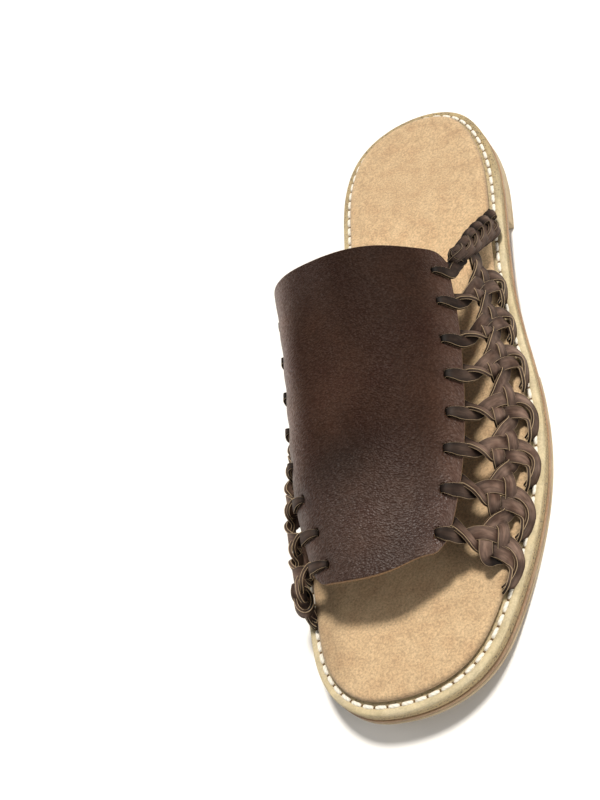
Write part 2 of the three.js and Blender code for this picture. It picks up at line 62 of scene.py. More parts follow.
# Sole: layers, rise, flare of the edges, and how far the flat faces reach in from them
LENGTH = 288.0
SEAT_GAP = 0.3
HALF_SOLE_THICKNESS = 2.0
OUTSOLE_THICKNESS = 2.5
MIDSOLE_THICKNESS = 5.7
OUTSOLE_BOTTOM = HALF_SOLE_THICKNESS
MIDSOLE_BOTTOM = OUTSOLE_BOTTOM + OUTSOLE_THICKNESS
MIDSOLE_TOP = MIDSOLE_BOTTOM + MIDSOLE_THICKNESS
HEEL_RISE = 4.2
TOE_SPRING = 6.0
HEEL_BREAST = 70.0
WAIST_END = 165.0
TOE_BREAK = 215.0
HALF_SOLE_START = 150.0
OUTSOLE_FLARE = 0.4
HEEL_FLARE = 0.8
HEEL_REACH = 3.0
# Rounded foot of the heel lift: inset and height
HEEL_ROUND = (0.3, 0.35)
EDGE_ROUND = 0.2
LAYER_REACH = 4.0
SOLE_ROWS = 150
INSOLE_COLUMNS = 24

# Outline of the midsole from above: station, inner side, outer side
OUTLINE = np.array([
    (0, 0.4, 0.4), (5, -20.0, 18.4), (16, -32.0, 28.0), (45, -38.8, 37.5), (80, -36.5, 40.0),
    (120, -37.1, 43.7), (160, -42.7, 51.4), (195, -47.9, 53.2), (222, -48.8, 49.1),
    (248, -44.4, 41.6), (267, -38.6, 33.3), (281, -28.3, 18.7), (288, -9.3, -9.3),
])

# Edge profiles of the layers: inset from the outline, height
OUTSOLE_EDGE = [(0.25, 0.0), (0.0, 0.3), (0.0, 1.85), (0.25, 2.2), (4.0, 2.2)]
MIDSOLE_EDGE = [
    (4.0, -5.7), (0.3, -5.7), (0.05, -5.5), (0.0, -5.1), (0.0, -3.0), (0.0, -1.4), (0.1, -0.8),
    (0.35, -0.35), (0.75, -0.1), (1.3, 0.0), (1.8, 0.02), (2.2, 0.0), (2.5, -0.12), (2.9, -0.4),
    (3.3, -0.52), (3.7, -0.4), (4.1, -0.15), (4.6, 0.0), (10.0, 0.0),
]
INSOLE_EDGE = [
    (9.4, 0.0), (6.4, 0.0), (5.5, 0.25), (5.05, 0.8), (4.95, 1.4), (5.1, 2.1), (5.5, 2.7),
    (6.2, 3.2), (7.2, 3.5), (8.3, 3.6), (9.3, 3.6), (10.5, 3.52), (11.9, 3.58), (13.7, 3.74),
    (16.1, 3.86), (20.0, 3.9),
]

# Hollows of the footbed (depth, station, half length), and the insets between which they come in
FOOTBED_HEEL = (0.8, 42, 26)
FOOTBED_BALL = (0.6, 205, 30)
FOOTBED_SPAN = (9.0, 24.0)

# Darkening of the rim: its raw side between two depths, up to an inset; painted shade in the groove
# # beside the insole (amount, inset, half width), down to a depth; darker towards the heel (amount,
# stations where it starts and is full)
RIM_SIDE_DEPTH = (0.7, 2.2)
RIM_SIDE_INSET = 1.0
RIM_GROOVE_SHADE = (0.55, 4.6, 0.9)
RIM_GROOVE_DEPTH = 1.5
RIM_HEEL = (0.9, 90, 30)

# Darkening of the suede: darker crease and rolled edge by inset, rubbed toe, painted shade at the heel and
# painted light at the waist by station
SUEDE_CREASE = (0.06, 10.6, 1.0)
SUEDE_EDGE = (0.3, 6.0, 5.0)
SUEDE_TOE = (0.3, 262, 26)
SUEDE_TOE_SIDE = (14, 40)
SUEDE_TOE_INSET = (24, 8)
SUEDE_HEEL_SHADE = (0.05, 80, 50)
SUEDE_WAIST_LIGHT = (-0.2, 97, 26)
SUEDE_WEAR_AND_SHADING_LIMITS = (-0.2, 0.6)

# Stitches: lift off the rim, dip at both ends, taper of their width there, height for a width of 1
RIM_STEPS = 4000
STITCH_RINGS = 9
STITCH_SIDES = 8
STITCH_LIFT = -0.1
STITCH_DIP = 0.65
STITCH_TAPER = 0.8
STITCH_FLATNESS = 0.75
HOLE_RADIUS = 0.62
HOLE_LEVELS = (-1.1, -0.3)

# Last above the sole: station, then x and z of flank, shoulder, crown, inner roll and inner wall
SECTIONS = np.array([
    (60, 31.0, 30.0, 21.5, 46.0, 0.5, 67.7, -29.5, 69.2, -49.2, 58.1),
    (96, 32.0, 29.0, 24.0, 43.5, 1.7, 64.6, -28.9, 65.6, -49.1, 54.6),
    (112, 33.5, 28.5, 25.4, 41.6, 2.5, 61.8, -28.0, 62.4, -48.2, 51.1),
    (145, 38.5, 26.0, 29.3, 38.0, 6.8, 55.5, -21.7, 56.8, -42.5, 49.9),
    (175, 41.5, 24.0, 30.6, 35.5, 7.0, 50.1, -20.8, 50.6, -41.0, 43.6),
    (205, 40.0, 22.5, 28.4, 33.0, 5.8, 44.6, -19.4, 44.7, -37.8, 38.9),
    (235, 34.5, 21.0, 21.0, 29.7, 2.7, 38.8, -17.7, 38.7, -32.3, 33.4),
    (262, 27.5, 20.0, 14.5, 26.7, 0.1, 34.7, -16.3, 34.3, -27.7, 29.0),
])
SEAM_INSET = 3.2
SEAM_HEIGHT = 0.8

# Vamp: wall, collar and front edge; both edges as stations from its outer (0) to its inner (1) side
VAMP_WALL = 1.8
COLLAR_EDGE = np.array([
    (0.0, 113.5), (0.03, 110.9), (0.12, 109.9), (0.28, 111.5), (0.45, 111.9), (0.65, 112.4),
    (0.75, 113.6), (0.86, 116.0), (1.0, 120.0),
])
FRONT_EDGE = np.array([
    (0.0, 229.0), (0.03, 232.6), (0.09, 234.9), (0.27, 240.0), (0.54, 243.2), (0.81, 243.0),
    (0.93, 241.4), (1.0, 237.5),
])
# Soft crease across the vamp: its station at the outer edge, and the stations it gains to the inner
# edge; its half width; where across the vamp it comes in, from the outer and from the inner side
CREASE = (174.0, 23.0)
CREASE_WIDTH = 7.0
CREASE_OUTER_END = (0.2, 0.45)
CREASE_INNER_END = (0.9, 0.7)
# Painted light and shade in lighter and darker patches along it: station, place across, half length, half
# width, amount
VAMP_SHADED_PATCHES = (
    (171, 0.57, 12, 0.15, 0.42), (197, 0.56, 10, 0.24, -0.4), (223, 0.47, 9, 0.15, 0.34),
    (236, 0.3, 7, 0.15, -0.2), (150, 0.3, 20, 0.12, -0.1), (140, 0.62, 14, 0.08, 0.15),
)
# Painted shade at the rear, painted sheen at the front, painted light on the outer edge, and polish:
# amount, and where each starts and is full, in stations or across
VAMP_REAR_SHADE = (-0.3, 165, 112)
VAMP_FRONT_LIGHT = (0.32, 185, 230)
VAMP_OUTER_LIGHT = (0.95, 0.2, 0.02)
VAMP_POLISH = 0.07
VAMP_FRONT_POLISH = (0.3, 182, 228)
VAMP_OUTER_POLISH = (0.26, 0.16, 0.02)
VAMP_RIM_POLISH = 0.1
# Inner roll, with a painted sheen and more polish: how far the surface turns inward, and how both end
# towards the front
VAMP_ROLL = (0.05, 0.6)
VAMP_ROLL_ENDS = (0.75, 170, 215)
VAMP_ROLL_SHEEN = 2.4
VAMP_ROLL_POLISH = 1.3
# Share of raw fibres on the flesh side
VAMP_FLESH_RAW = 0.75
# Mesh: columns across, which crowd towards both sides, and rows along
VAMP_COLUMNS = 150
VAMP_ROWS = 160
VAMP_CROWDING = 0.35
# Rounded edge: how far it stands out, and where its corners lie in the wall
VAMP_EDGE_ROUND = 0.35
VAMP_EDGE_LIFTS = (0.62, -0.62)
# Room that a slit leaves beside the lace, along the shoe, and its shift in stations
SLIT_ROOM = 0.5
SLIT_SHIFT = 0.05
# Pucker of the vamp round a slit: depth, reach; and the painted shade in it
PUCKER = (0.7, 4.5)
PUCKER_SHADE = 0.25

# Lace stations on both sides: number, slot in the vamp, seam of the sole, and how far round the last
# the vamp's edge and its slots lie (0 outer seam, 1 inner seam); the inner lacing swells off the last
OUTER_STATIONS = np.array([
    (0, 103.5, 69.5, 0.333, 0.373), (1, 118.0, 89.8, 0.332, 0.373), (2, 131.9, 111.3, 0.33, 0.374),
    (3, 149.2, 129.4, 0.332, 0.377), (4, 164.3, 150.1, 0.334, 0.375), (5, 180.2, 175.1, 0.333, 0.373),
    (6, 194.8, 195.7, 0.334, 0.377), (7, 210.2, 217.4, 0.333, 0.375), (8, 226.4, 237.2, 0.335, 0.369),
    (9, 241.5, 257.0, 0.345, 0.375),
])
INNER_STATIONS = np.array([
    (0, 112.0, 78.0, 0.873, 0.845), (1, 128.0, 99.0, 0.873, 0.845), (2, 146.0, 120.0, 0.873, 0.845),
    (3, 161.5, 141.0, 0.873, 0.845), (4, 176.5, 162.0, 0.873, 0.845), (5, 191.7, 183.0, 0.87, 0.84),
    (6, 208.2, 204.0, 0.852, 0.798), (7, 222.5, 224.0, 0.832, 0.758), (8, 235.0, 242.6, 0.81, 0.731),
    (9, 246.0, 261.0, 0.8, 0.72),
])
LAST_STATION = 8
INNER_SWELL = 4.5

# One loop of lace, from the seam up to the vamp, through its slot from below and back to the seam.
# across: 1 at the seam, 0 at the vamp's edge, -1 at the slot; along: in stations; lift: off the wall;
# roll: degrees that the lace is turned about its run, where it doesn't lie flat
LOOP_INNER_LEG = [
    (0.94, 0.42, -1.6, 50), (0.93, 0.35, -0.2, 50), (0.915, 0.21, 0.5, 50), (0.9, 0.07, 0.8, 45),
    (0.87, -0.02, 0.9, 25), (0.8, -0.08, 1.0), (0.7, -0.085, 0.8), (0.585, -0.07, 0.0),
    (0.46, -0.03, -0.8), (0.33, 0.01, 0.0, 15), (0.24, -0.03, 0.8, 35), (0.15, -0.1, 1.1, 45),
    (0.08, -0.16, 0.6, 45), (0.03, -0.22, -0.9, 30),
]
LOOP_SLOT = [
    (-0.1, -0.25, -1.6), (-0.5, -0.14, -1.75), (-0.87, 0.0, -1.6), (-1.08, 0.05, -0.5),
    (-1.08, 0.05, 0.6), (-0.85, 0.05, 1.55), (-0.4, 0.06, 1.7), (0.0, 0.06, 1.5),
]
LOOP_OUTER_LEG = [
    (0.06, 0.04, 0.7), (0.12, 0.0, -0.5), (0.19, -0.09, -0.5), (0.27, -0.2, 0.5), (0.39, -0.29, 1.1),
    (0.5, -0.335, 0.7), (0.6, -0.37, -0.2), (0.69, -0.39, -0.4), (0.79, -0.37, 0.7, -8),
    (0.89, -0.29, 1.4, -15), (0.955, -0.18, 1.7, -20), (0.985, -0.04, 1.7, -25), (0.985, 0.12, 1.3, -25),
    (0.965, 0.28, 0.3, -25), (0.95, 0.38, -1.6, -25),
]

# Strand along the wall; it repeats every two stations, and each half starts beyond a station number
STRAND_STARTS = (0.9, 1.15)
STRAND = [
    (0.635, -0.46, 0.9, -8), (0.67, -0.26, 0.2, -5), (0.7, -0.06, -0.7), (0.64, 0.14, 0.1, -12),
    (0.52, 0.32, 1.0, -20), (0.43, 0.54, 0.6, -20), (0.4, 0.74, -0.8), (0.41, 0.9, 1.0),
    (0.43, 1.05, 1.1), (0.5, 1.18, -0.8), (0.56, 1.3, -0.3), (0.615, 1.44, 0.8, -8),
]
# Bight that turns the first strand into the second under the foremost loop
BIGHT = [
    (0.61, 0.04, -1.1), (0.55, 0.125, -1.0), (0.49, 0.175, -0.1), (0.45, 0.135, 1.0), (0.425, 0.03, 1.2),
]

# Flat plait of four strands, from the rear of the lacing down to the sole beside the heel: top and
# foot as places across and along, half width at the top and below it, lift and roll of the strands
PLAIT_STRANDS = 4
PLAIT_TURNS = 1.5
PLAIT_STEPS = 32
PLAIT_HALF_WIDTH = (0.12, 0.31)
PLAIT_TOP = (0.06, 0.53)
PLAIT_FOOT = (1.0, 0.34)
PLAIT_LIFT = 1.6
PLAIT_BASE = 1.5
PLAIT_ROLL = 28.0
PLAIT_STRAND_WIDTH = 0.76
PLAIT_SWAY = 0.6
PLAIT_WIDENS = (0.0, 0.4)
# How far its foot sinks into the seam: depth, and where that starts and is full
PLAIT_SINK = (2.4, 0.9, 1.0)
# Station numbers between which the plait takes over from the lacing
PLAIT_SPAN = (1.0, 0.75)
REAR_OUTER_LEG = [(0.08, -0.1, 1.0), (0.14, -0.22, 0.2)]
REAR_INNER_LEG = [(0.2, -0.28, 0.9), (0.1, -0.22, 0.4)]
STRAND_LINKS = [[(0.4, 0.72, 0.3)], [(0.5, 0.86, 0.2)]]

# Knot that ties the foremost legs of the inner side: one turn of lace round them, at a station number
# and a place across, with its reach along (in stations) and off the wall, and the lap of its ends
KNOT_PLACE = (8.05, 0.75)
KNOT_LIFT = 0.8
KNOT_REACH = (0.3, 3.3)
KNOT_STEPS = 18
KNOT_LAP = 1.05
KNOT_CORE = [
    (0.5, -0.08, 0.4, 40), (0.62, -0.02, 1.3, 70), (0.75, 0.05, 1.6, 80), (0.86, 0.13, 1.2, 80),
    (0.95, 0.26, 0.3, 60), (0.99, 0.4, -1.4, 40),
]

# Section of the lace for a width and thickness of 1: offset across, offset in thickness, edge share
LACE_SECTION = [
    (-0.475, 0.5, 0), (-0.2, 0.53, 0), (0.2, 0.53, 0), (0.475, 0.5, 0), (0.492, 0.49, 1), (0.5, 0.42, 1),
    (0.5, 0.3, 0), (0.5, -0.3, 0), (0.5, -0.42, 1), (0.492, -0.49, 1), (0.475, -0.5, 0), (0.0, -0.52, 0),
    (-0.475, -0.5, 0), (-0.492, -0.49, 1), (-0.5, -0.42, 1), (-0.5, -0.3, 0), (-0.5, 0.3, 0),
    (-0.5, 0.42, 1), (-0.492, 0.49, 1),
]
# Mesh: step and fewest rings of a length, how far off the wall's normal a run must lie for the lace to
# take its level from the wall, passes that ease that level, and the angle of sharp edges
LACE_STEP = 0.7
LACE_FEWEST_RINGS = 8
LACE_FIRM = 0.55
LACE_EASING = 3
LACE_SHARP_ANGLE = 28.0
# Share of the lace's width that is left at the slots: station numbers, shares
OUTER_SLOT_WIDTHS = ((1, 2, 3, 4), (0.74, 0.86, 0.94, 1.0))
INNER_SLOT_WIDTHS = ((5, 8), (0.8, 0.8))
# Further taper in the slot itself, and where across the lace tapers and narrows
SLOT_TAPER = 0.56
SLOT_TAPERS = (-1.1, -0.6)
SLOT_NARROWS = (-0.15, 0.3)
# Painted shade of the lace on the vamp and in the slots, scaled on each side: lighter on the inner side
OUTER_SLOT_TONE = 1.0
INNER_SLOT_TONE = 1.7
# How light the lace is along its length, darker at the plait than at the front: station numbers, shares
LACE_LIGHTNESS_ALONG = ((0.6, 1.2, 3.0, 5.5), (0.58, 0.62, 0.74, 1.0))
# Painted light and shade of the lace: painted shade in low bends and painted light on proud ones, by lift;
# painted shade in the slot, on the vamp and at the seam, by place across
LACE_LIFTS = (-1.0, 1.2)
LACE_PROUD_TONES = (0.15, 1.8)
LACE_SLOT_SPAN = (-1.08, -0.84)
LACE_VAMP_TONES = (0.1, 0.4)
LACE_OFF_VAMP = (-0.05, 0.25)
LACE_SEAM_SPAN = (0.95, 1.0)
LACE_SEAM_TONE = 0.6
# Painted light at the middle of the lace's face, and its fall into painted shade towards the edges
LACE_FACE_TONE = (1.14, 2.6)
# How pale the cut edges are, in the plait and in front of it, and the station numbers between
LACE_EDGE_SHARES = (0.4, 0.85)
LACE_EDGE_SPAN = (0.75, 1.1)

# Camera of the photograph in the frame of the last, for an image of 600 by 800
CAMERA_EYE = (180.18619, -260.71290, 408.26554)
CAMERA_RIGHT = (0.87605, 0.06757, -0.47747)
CAMERA_UP = (0.18459, 0.86774, 0.46148)
CAMERA_BACK = (0.44550, -0.49241, 0.74771)
CAMERA_LENS = 54.0
CAMERA_SENSOR = 36.0

# Stage, in metres; lights: name, place, width, power, colour
CAMERA_CLIP = (0.01, 50.0)
FLOOR_REACH = 6.0
LIGHT_TARGET = (0.0, 0.0, 0.03)
LIGHT_SPECULAR = 0.3
LIGHTS = (
    ("key_light", (0.5, 1.4, 3.5), 0.75, 165.0, "fffaf2"),
    ("outer_light", (1.5, -0.6, 0.42), 1.0, 11.0, "fffdf8"),
    ("inner_light", (-1.5, 0.0, 0.6), 1.0, 6.0, "fffdf8"),
)
FILL_COLOUR = "fffdfa"


def linear(hex_text):
    """Linear colour of an sRGB hex value."""
    values = [int(hex_text[i:i + 2], 16) / 255 for i in (0, 2, 4)]
    return tuple(v / 12.92 if v <= 0.04045 else ((v + 0.055) / 1.055) ** 2.4 for v in values)


def lerp(a, b, share):
    return a + (b - a) * share


def smooth(x, start, full):
    """Smooth step from 0 at start to 1 at full, which may lie below start."""
    t = np.clip((np.asarray(x, float) - start) / (full - start), 0, 1)
    return t * t * (3 - 2 * t)


def bump(x, centre, width):
    """Soft hump of height 1."""
    return np.exp(-((np.asarray(x, float) - centre) / width) ** 2)


def fade_in(x, amount, start, full):
    return amount * smooth(x, start, full)


def patch(x, amount, centre, width):
    return amount * bump(x, centre, width)


def run_along(points, axis=0):
    """Distance along a row of points, from 0 at its first."""
    steps = np.linalg.norm(np.diff(points, axis=axis), axis=-1)
    start = np.zeros_like(np.take(steps, [0], axis=axis))
    return np.cumsum(np.concatenate([start, steps], axis=axis), axis=axis)


class Curve:
    """Natural cubic spline over fixed knots, straight beyond its ends."""

    def __init__(self, knots):
        self.knots = np.asarray(knots, float)
        count = len(self.knots)
        steps = np.diff(self.knots)
        system = np.eye(count)
        right = np.zeros((count, count))
        for i in range(1, count - 1):
            before, after = steps[i - 1], steps[i]
            system[i, i - 1:i + 2] = before / 6, (before + after) / 3, after / 6
            right[i, i - 1:i + 2] = 1 / before, -1 / before - 1 / after, 1 / after
        self.bends = np.linalg.solve(system, right)

    def __call__(self, values, at):
        values = np.asarray(values, float)
        at = np.asarray(at, float)
        inside = np.clip(at, self.knots[0], self.knots[-1])
        low = np.clip(np.searchsorted(self.knots, inside, side="right") - 1, 0, len(self.knots) - 2)
        bends = values @ self.bends.T
        if values.ndim == 1:
            y0, y1, b0, b1 = values[low], values[low + 1], bends[low], bends[low + 1]
        else:
            pick = [np.take_along_axis(v, k[..., None], -1)[..., 0]
                    for v in (values, bends) for k in (low, low + 1)]
            y0, y1, b0, b1 = pick
        width = self.knots[low + 1] - self.knots[low]
        b = (inside - self.knots[low]) / width
        a = 1 - b
        curve = ((a ** 3 - a) * b0 + (b ** 3 - b) * b1) * width ** 2 / 6
        slope = (y1 - y0) / width + ((1 - 3 * a * a) * b0 + (3 * b * b - 1) * b1) * width / 6
        return a * y0 + b * y1 + curve + slope * (at - inside)


# Sole shape

def turn_at(station):
    return np.arccos(1 - 2 * np.clip(np.asarray(station, float) / LENGTH, 0, 1))


OUTLINE_CURVE = Curve(turn_at(OUTLINE[:, 0]))


def side_at(turn, column):
    return OUTLINE_CURVE(OUTLINE[:, column], turn)


def rise(station):
    """How far the sole is lifted off the ground at a station."""
    waist = 1 - smooth(station, HEEL_BREAST, WAIST_END)
    toe = np.clip((np.asarray(station, float) - TOE_BREAK) / (LENGTH - TOE_BREAK), 0, 1)
    return HEEL_RISE * waist + TOE_SPRING * toe * toe


def outline_at(turn):
    """Outline as a closed loop: turn 0 at the heel, pi at the toe, the inner side first."""
    t = np.mod(turn, 2 * np.pi)
    x = np.where(t <= np.pi, side_at(t, 1), side_at(2 * np.pi - t, 2))
    return np.stack([x, LENGTH / 2 * np.cos(t)], -1)


def inset_outline(turn, inset):
    along = outline_at(turn + TURN_STEP) - outline_at(turn - TURN_STEP)
    along /= np.linalg.norm(along, axis=-1, keepdims=True)
    outward = np.stack([along[..., 1], -along[..., 0]], -1)
    return outline_at(turn) - outward * np.asarray(inset)[..., None]


# Last: the surface that the vamp and the lacing lie on

SECTION_CURVE = Curve(SECTIONS[:, 0])
ROUND_CURVE = Curve(np.arange(7) / 6)


def last_point(station, round_):
    station, round_ = np.broadcast_arrays(np.asarray(station, float), np.asarray(round_, float))
    turn = turn_at(station)
    seam = rise(station) + MIDSOLE_TOP + SEAM_HEIGHT
    columns = [SECTION_CURVE(SECTIONS[:, k], station) for k in range(1, 11)]
    xs = np.stack([side_at(turn, 2) - SEAM_INSET, *columns[0::2], side_at(turn, 1) + SEAM_INSET], -1)
    zs = np.stack([seam, *columns[1::2], seam], -1)
    return np.stack([ROUND_CURVE(xs, round_), LENGTH / 2 - station, ROUND_CURVE(zs, round_)], -1)


def unit(vectors):
    return vectors / np.maximum(np.linalg.norm(vectors, axis=-1, keepdims=True), 1e-9)


def last_frame(station, round_):
    """Point on the last, direction along the shoe and outward normal."""
    along = unit(last_point(station + STATION_STEP, round_) - last_point(station - STATION_STEP, round_))
    across = unit(last_point(station, round_ + ROUND_STEP) - last_point(station, round_ - ROUND_STEP))
    return last_point(station, round_), along, unit(np.cross(across, along))


class LacingSide:
    """One side's lacing: where a place given in stations and across the gap lies on the last."""

    def __init__(self, stations, seam_round, swell, slot_widths, slot_tone):
        self.curve = Curve(stations[:, 0])
        self.table = stations
        self.seam_round = seam_round
        self.hand = 1 - 2 * seam_round
        self.swell = swell
        self.slot_widths = slot_widths
        self.slot_tone = slot_tone

    def width_share(self, number, across):
        """Share of the lace's width, which is drawn narrow through its slot."""
        taper = lerp(SLOT_TAPER, 1.0, smooth(across, *SLOT_TAPERS))
        drawn = np.interp(number, *self.slot_widths) * taper
        return lerp(drawn, 1.0, smooth(across, *SLOT_NARROWS))

    def place(self, number, across):
        slot, seam, edge, hole = (self.curve(self.table[:, k], number) for k in range(1, 5))
        across = np.asarray(across, float)
        station = lerp(slot, seam, np.maximum(across, 0))
        goal = np.where(across < 0, hole, self.seam_round)
        return station, lerp(edge, goal, np.abs(across))

    def frame(self, number, across):
        point, along, normal = last_frame(*self.place(number, across))
        gap = np.clip(across, 0, 1)
        swell = self.swell * np.sin(np.pi * gap) ** 2
        return point + normal * np.asarray(swell)[..., None], along, normal


OUTER_SIDE = LacingSide(OUTER_STATIONS, 0.0, 0.0, OUTER_SLOT_WIDTHS, OUTER_SLOT_TONE)
INNER_SIDE = LacingSide(INNER_STATIONS, 1.0, INNER_SWELL, INNER_SLOT_WIDTHS, INNER_SLOT_TONE)

# Slits in the vamp: side, place across, width
SLITS = ((OUTER_SIDE, -1.07, 1.8), (INNER_SIDE, -1.16, 2.4))


# Meshes

def make_mesh(name, points, faces):
    """Object from points in the frame of the last, in millimetres."""
    mesh = bpy.data.meshes.new(name)
    placed = (np.asarray(points, float) + LAST_TO_PART) * MM
    mesh.from_pydata(placed.tolist(), [], faces)
    mesh.validate()
    mesh.update()
    mesh.shade_smooth()
    piece = bpy.data.objects.new(name, mesh)
    bpy.context.scene.collection.objects.link(piece)
    return piece


def point_values(piece, **named):
    """Stores a number or a vector for each vertex under each name, for the materials to read."""
    for name, values in named.items():
        values = np.asarray(values, np.float32)
        kind, key = ("FLOAT", "value") if values.ndim == 1 else ("FLOAT_VECTOR", "vector")
        attribute = piece.data.attributes.new(name, kind, "POINT")
        attribute.data.foreach_set(key, values.ravel())


def face_out(piece):
    """Turns the faces of a closed piece so that they point out."""
    mesh = piece.data
    mesh.calc_loop_triangles()
    co = np.array([v.co for v in mesh.vertices])
    tri = np.array([t.vertices for t in mesh.loop_triangles])
    volume = np.einsum("ij,ij->", co[tri[:, 0]], np.cross(co[tri[:, 1]], co[tri[:, 2]]))
    if volume < 0:
        mesh.flip_normals()


def carry(piece, material, slot, *nodes):
    """Gives a piece its material and its place in the frame."""
    piece.data.materials.append(material)
    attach(piece, "root")
    if nodes:
        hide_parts(*nodes)


def tube_faces(base, rings, ring):
    """Faces that join rings of points, one after another, from a first index on."""
    faces = []
    for i in range(rings - 1):
        for k in range(ring):
            a = base + i * ring + k
            b = base + i * ring + (k + 1) % ring
            faces.append((a, b, b + ring, a + ring))
    return faces


def capped_tube(base, rings, ring):
    """Faces of a tube of rings with both its ends closed."""
    last = base + (rings - 1) * ring
    caps = [tuple(range(base + ring - 1, base - 1, -1)), tuple(range(last, last + ring))]
    return tube_faces(base, rings, ring) + caps


def cap_faces(points, insets, pairs, across, flip):
    """Faces that close a level between pairs of points on its two sides. Points are added between them
    where the cap is more than one face wide."""
    grid = []
    for a, b in pairs:
        row = [a]
        for j in range(1, across):
            if a == b:
                row.append(a)
                continue
            share = j / across
            reach = np.linalg.norm(points[a] - points[b])
            points.append(lerp(points[a], points[b], share))
            insets.append(insets[a] + reach * min(share, 1 - share))
            row.append(len(points) - 1)
        row.append(b)
        grid.append(row)
    faces = []
    for near, far in zip(grid, grid[1:]):
        for j in range(across):
            corners = list(dict.fromkeys([near[j], far[j], far[j + 1], near[j + 1]]))
            if len(corners) > 2:
                faces.append(tuple(corners[::-1] if flip else corners))
    return faces


def sole_loft(name, start, end, rows, levels, columns=1, dish=None):
    """Layer of the sole between two stations, lofted through levels of inset and height: the piece, and
    the point and inset of each vertex."""
    inner = np.linspace(turn_at(start), turn_at(end), rows + 1)
    heel_tip, toe_tip = start <= 0, end >= LENGTH
    back = (2 * np.pi - inner)[1 if heel_tip else 0: rows if toe_tip else rows + 1][::-1]
    turns = np.concatenate([inner, back])
    count = len(turns)
    points, insets = [], []
    for inset, height in levels:
        spot = inset_outline(turns, inset)
        station = LENGTH / 2 - spot[:, 1]
        level = height(station) if callable(height) else rise(station) + height
        points.extend(np.column_stack([spot, level]))
        insets.extend([inset] * count)
    tips = [i for i, tip in ((0, heel_tip), (rows, toe_tip)) if tip]
    end_of = count if heel_tip else count - 1
    pairs = [(i, i if i in tips else end_of - i) for i in range(rows + 1)]
    top = (len(levels) - 1) * count
    faces = tube_faces(0, len(levels), count)
    faces += cap_faces(points, insets, pairs, 1, True)
    faces += cap_faces(points, insets, [(top + a, top + b) for a, b in pairs], columns, False)
    points, insets = np.array(points), np.array(insets)
    if dish is not None:
        points[:, 2] += dish(points, insets)
    piece = make_mesh(name, points, faces)
    face_out(piece)
    return piece, points, insets


# Lace

def lace_painted_shading(side, number, across, lift):
    """Painted light and shade of the lace: painted light where it stands proud, painted shade where it
    dips, where it lies on the vamp and at the seam, darkest in the slots; darker in the plait."""
    lift = lift - PLAIT_BASE * smooth(number, *PLAIT_SPAN)
    proud = lerp(*LACE_PROUD_TONES, smooth(lift, *LACE_LIFTS))
    on_vamp = lerp(*LACE_VAMP_TONES, smooth(across, *LACE_SLOT_SPAN)) * side.slot_tone
    tone = lerp(on_vamp, proud, smooth(across, *LACE_OFF_VAMP))
    in_seam = lerp(1.0, LACE_SEAM_TONE, smooth(across, *LACE_SEAM_SPAN))
    return tone * in_seam * np.interp(number, *LACE_LIGHTNESS_ALONG)


def lace_across(at, normal, tangent):
    """Direction across the lace along its run, steady where the run stands off the wall."""
    level = np.cross(normal, tangent)
    firm = np.linalg.norm(level, axis=1) > LACE_FIRM
    level = unit(level)
    kept = None
    for i in np.flatnonzero(firm):
        if kept is not None and level[i] @ kept < 0:
            level[i] = -level[i]
        kept = level[i]
    for k in range(3):
        level[:, k] = np.interp(at, at[firm], level[firm, k])
    for _ in range(LACE_EASING):
        level[1:-1] = (level[:-2] + 2 * level[1:-1] + level[2:]) / 4
    return unit(level - tangent * np.sum(level * tangent, axis=1, keepdims=True))


def lace_strip(side, order, route):
    """Flat lace along one route of (number, across, lift, roll, width share): its points, and the run,
    edge share and painted light and shade of each."""
    section = np.array(LACE_SECTION)
    rows = np.array(route, float)
    wall, _, normal = side.frame(rows[:, 0], rows[:, 1])
    centres = wall + normal * rows[:, 2:3]
    chord = run_along(centres) + np.arange(len(centres)) * TINY
    at = np.linspace(0, chord[-1], max(int(chord[-1] / LACE_STEP), LACE_FEWEST_RINGS))
    curve = Curve(chord)

    def between(values):
        return np.interp(at, chord, values)

    centre = np.stack([curve(centres[:, k], at) for k in range(3)], -1)
    normal = unit(np.stack([between(normal[:, k]) for k in range(3)], -1))
    tangent = unit(np.gradient(centre, axis=0))
    broad = lace_across(at, normal, tangent)
    flat = unit(np.cross(tangent, broad))
    roll = np.radians(between(rows[:, 3]) * side.hand)[:, None]
    rolled_broad = broad * np.cos(roll) + flat * np.sin(roll)
    rolled_flat = flat * np.cos(roll) - broad * np.sin(roll)

    share = between(rows[:, 4] * side.width_share(rows[:, 0], rows[:, 1]))
    aside = section[:, 0] * size("lace_width") * share[:, None]
    through = section[:, 1] * size("lace_thickness")
    points = (centre[:, None] + rolled_broad[:, None] * aside[..., None]
              + rolled_flat[:, None] * through[:, None])
    runs = np.stack(np.broadcast_arrays(at[:, None] * MM, aside * MM, float(order)), -1)
    pale = lerp(*LACE_EDGE_SHARES, smooth(between(rows[:, 0]), *LACE_EDGE_SPAN))
    lace_shading = between(lace_painted_shading(side, *rows.T[:3]))
    middle, fall = LACE_FACE_TONE
    return (points.reshape(-1, 3), runs.reshape(-1, 3), np.outer(pale, section[:, 2]).ravel(),
            np.outer(lace_shading, middle - fall * section[:, 0] ** 2).ravel())


def lace_piece(name, side, routes):
    """All lengths of lace of one side, as one piece."""
    strips = [lace_strip(side, order, route) for order, route in enumerate(routes)]
    ring = len(LACE_SECTION)
    faces = []
    base = 0
    for points, *_ in strips:
        faces += capped_tube(base, len(points) // ring, ring)
        base += len(points)
    points, runs, edges, painted_shadings = (np.concatenate(values) for values in zip(*strips))
    piece = make_mesh(name, points, faces)
    piece.data.set_sharp_from_angle(angle=math.radians(LACE_SHARP_ANGLE))
    face_out(piece)
    point_values(piece, run=runs, edge=edges, tone=painted_shadings)
    return piece


def at_station(rows, number):
    """Rows of a route, set at a station and given a roll and a full width."""
    return [(number + along, across, lift, roll[0] if roll else 0, 1.0)
            for across, along, lift, *roll in rows]


def backward(rows):
    return [(number, across, lift, -roll, width) for number, across, lift, roll, width in reversed(rows)]


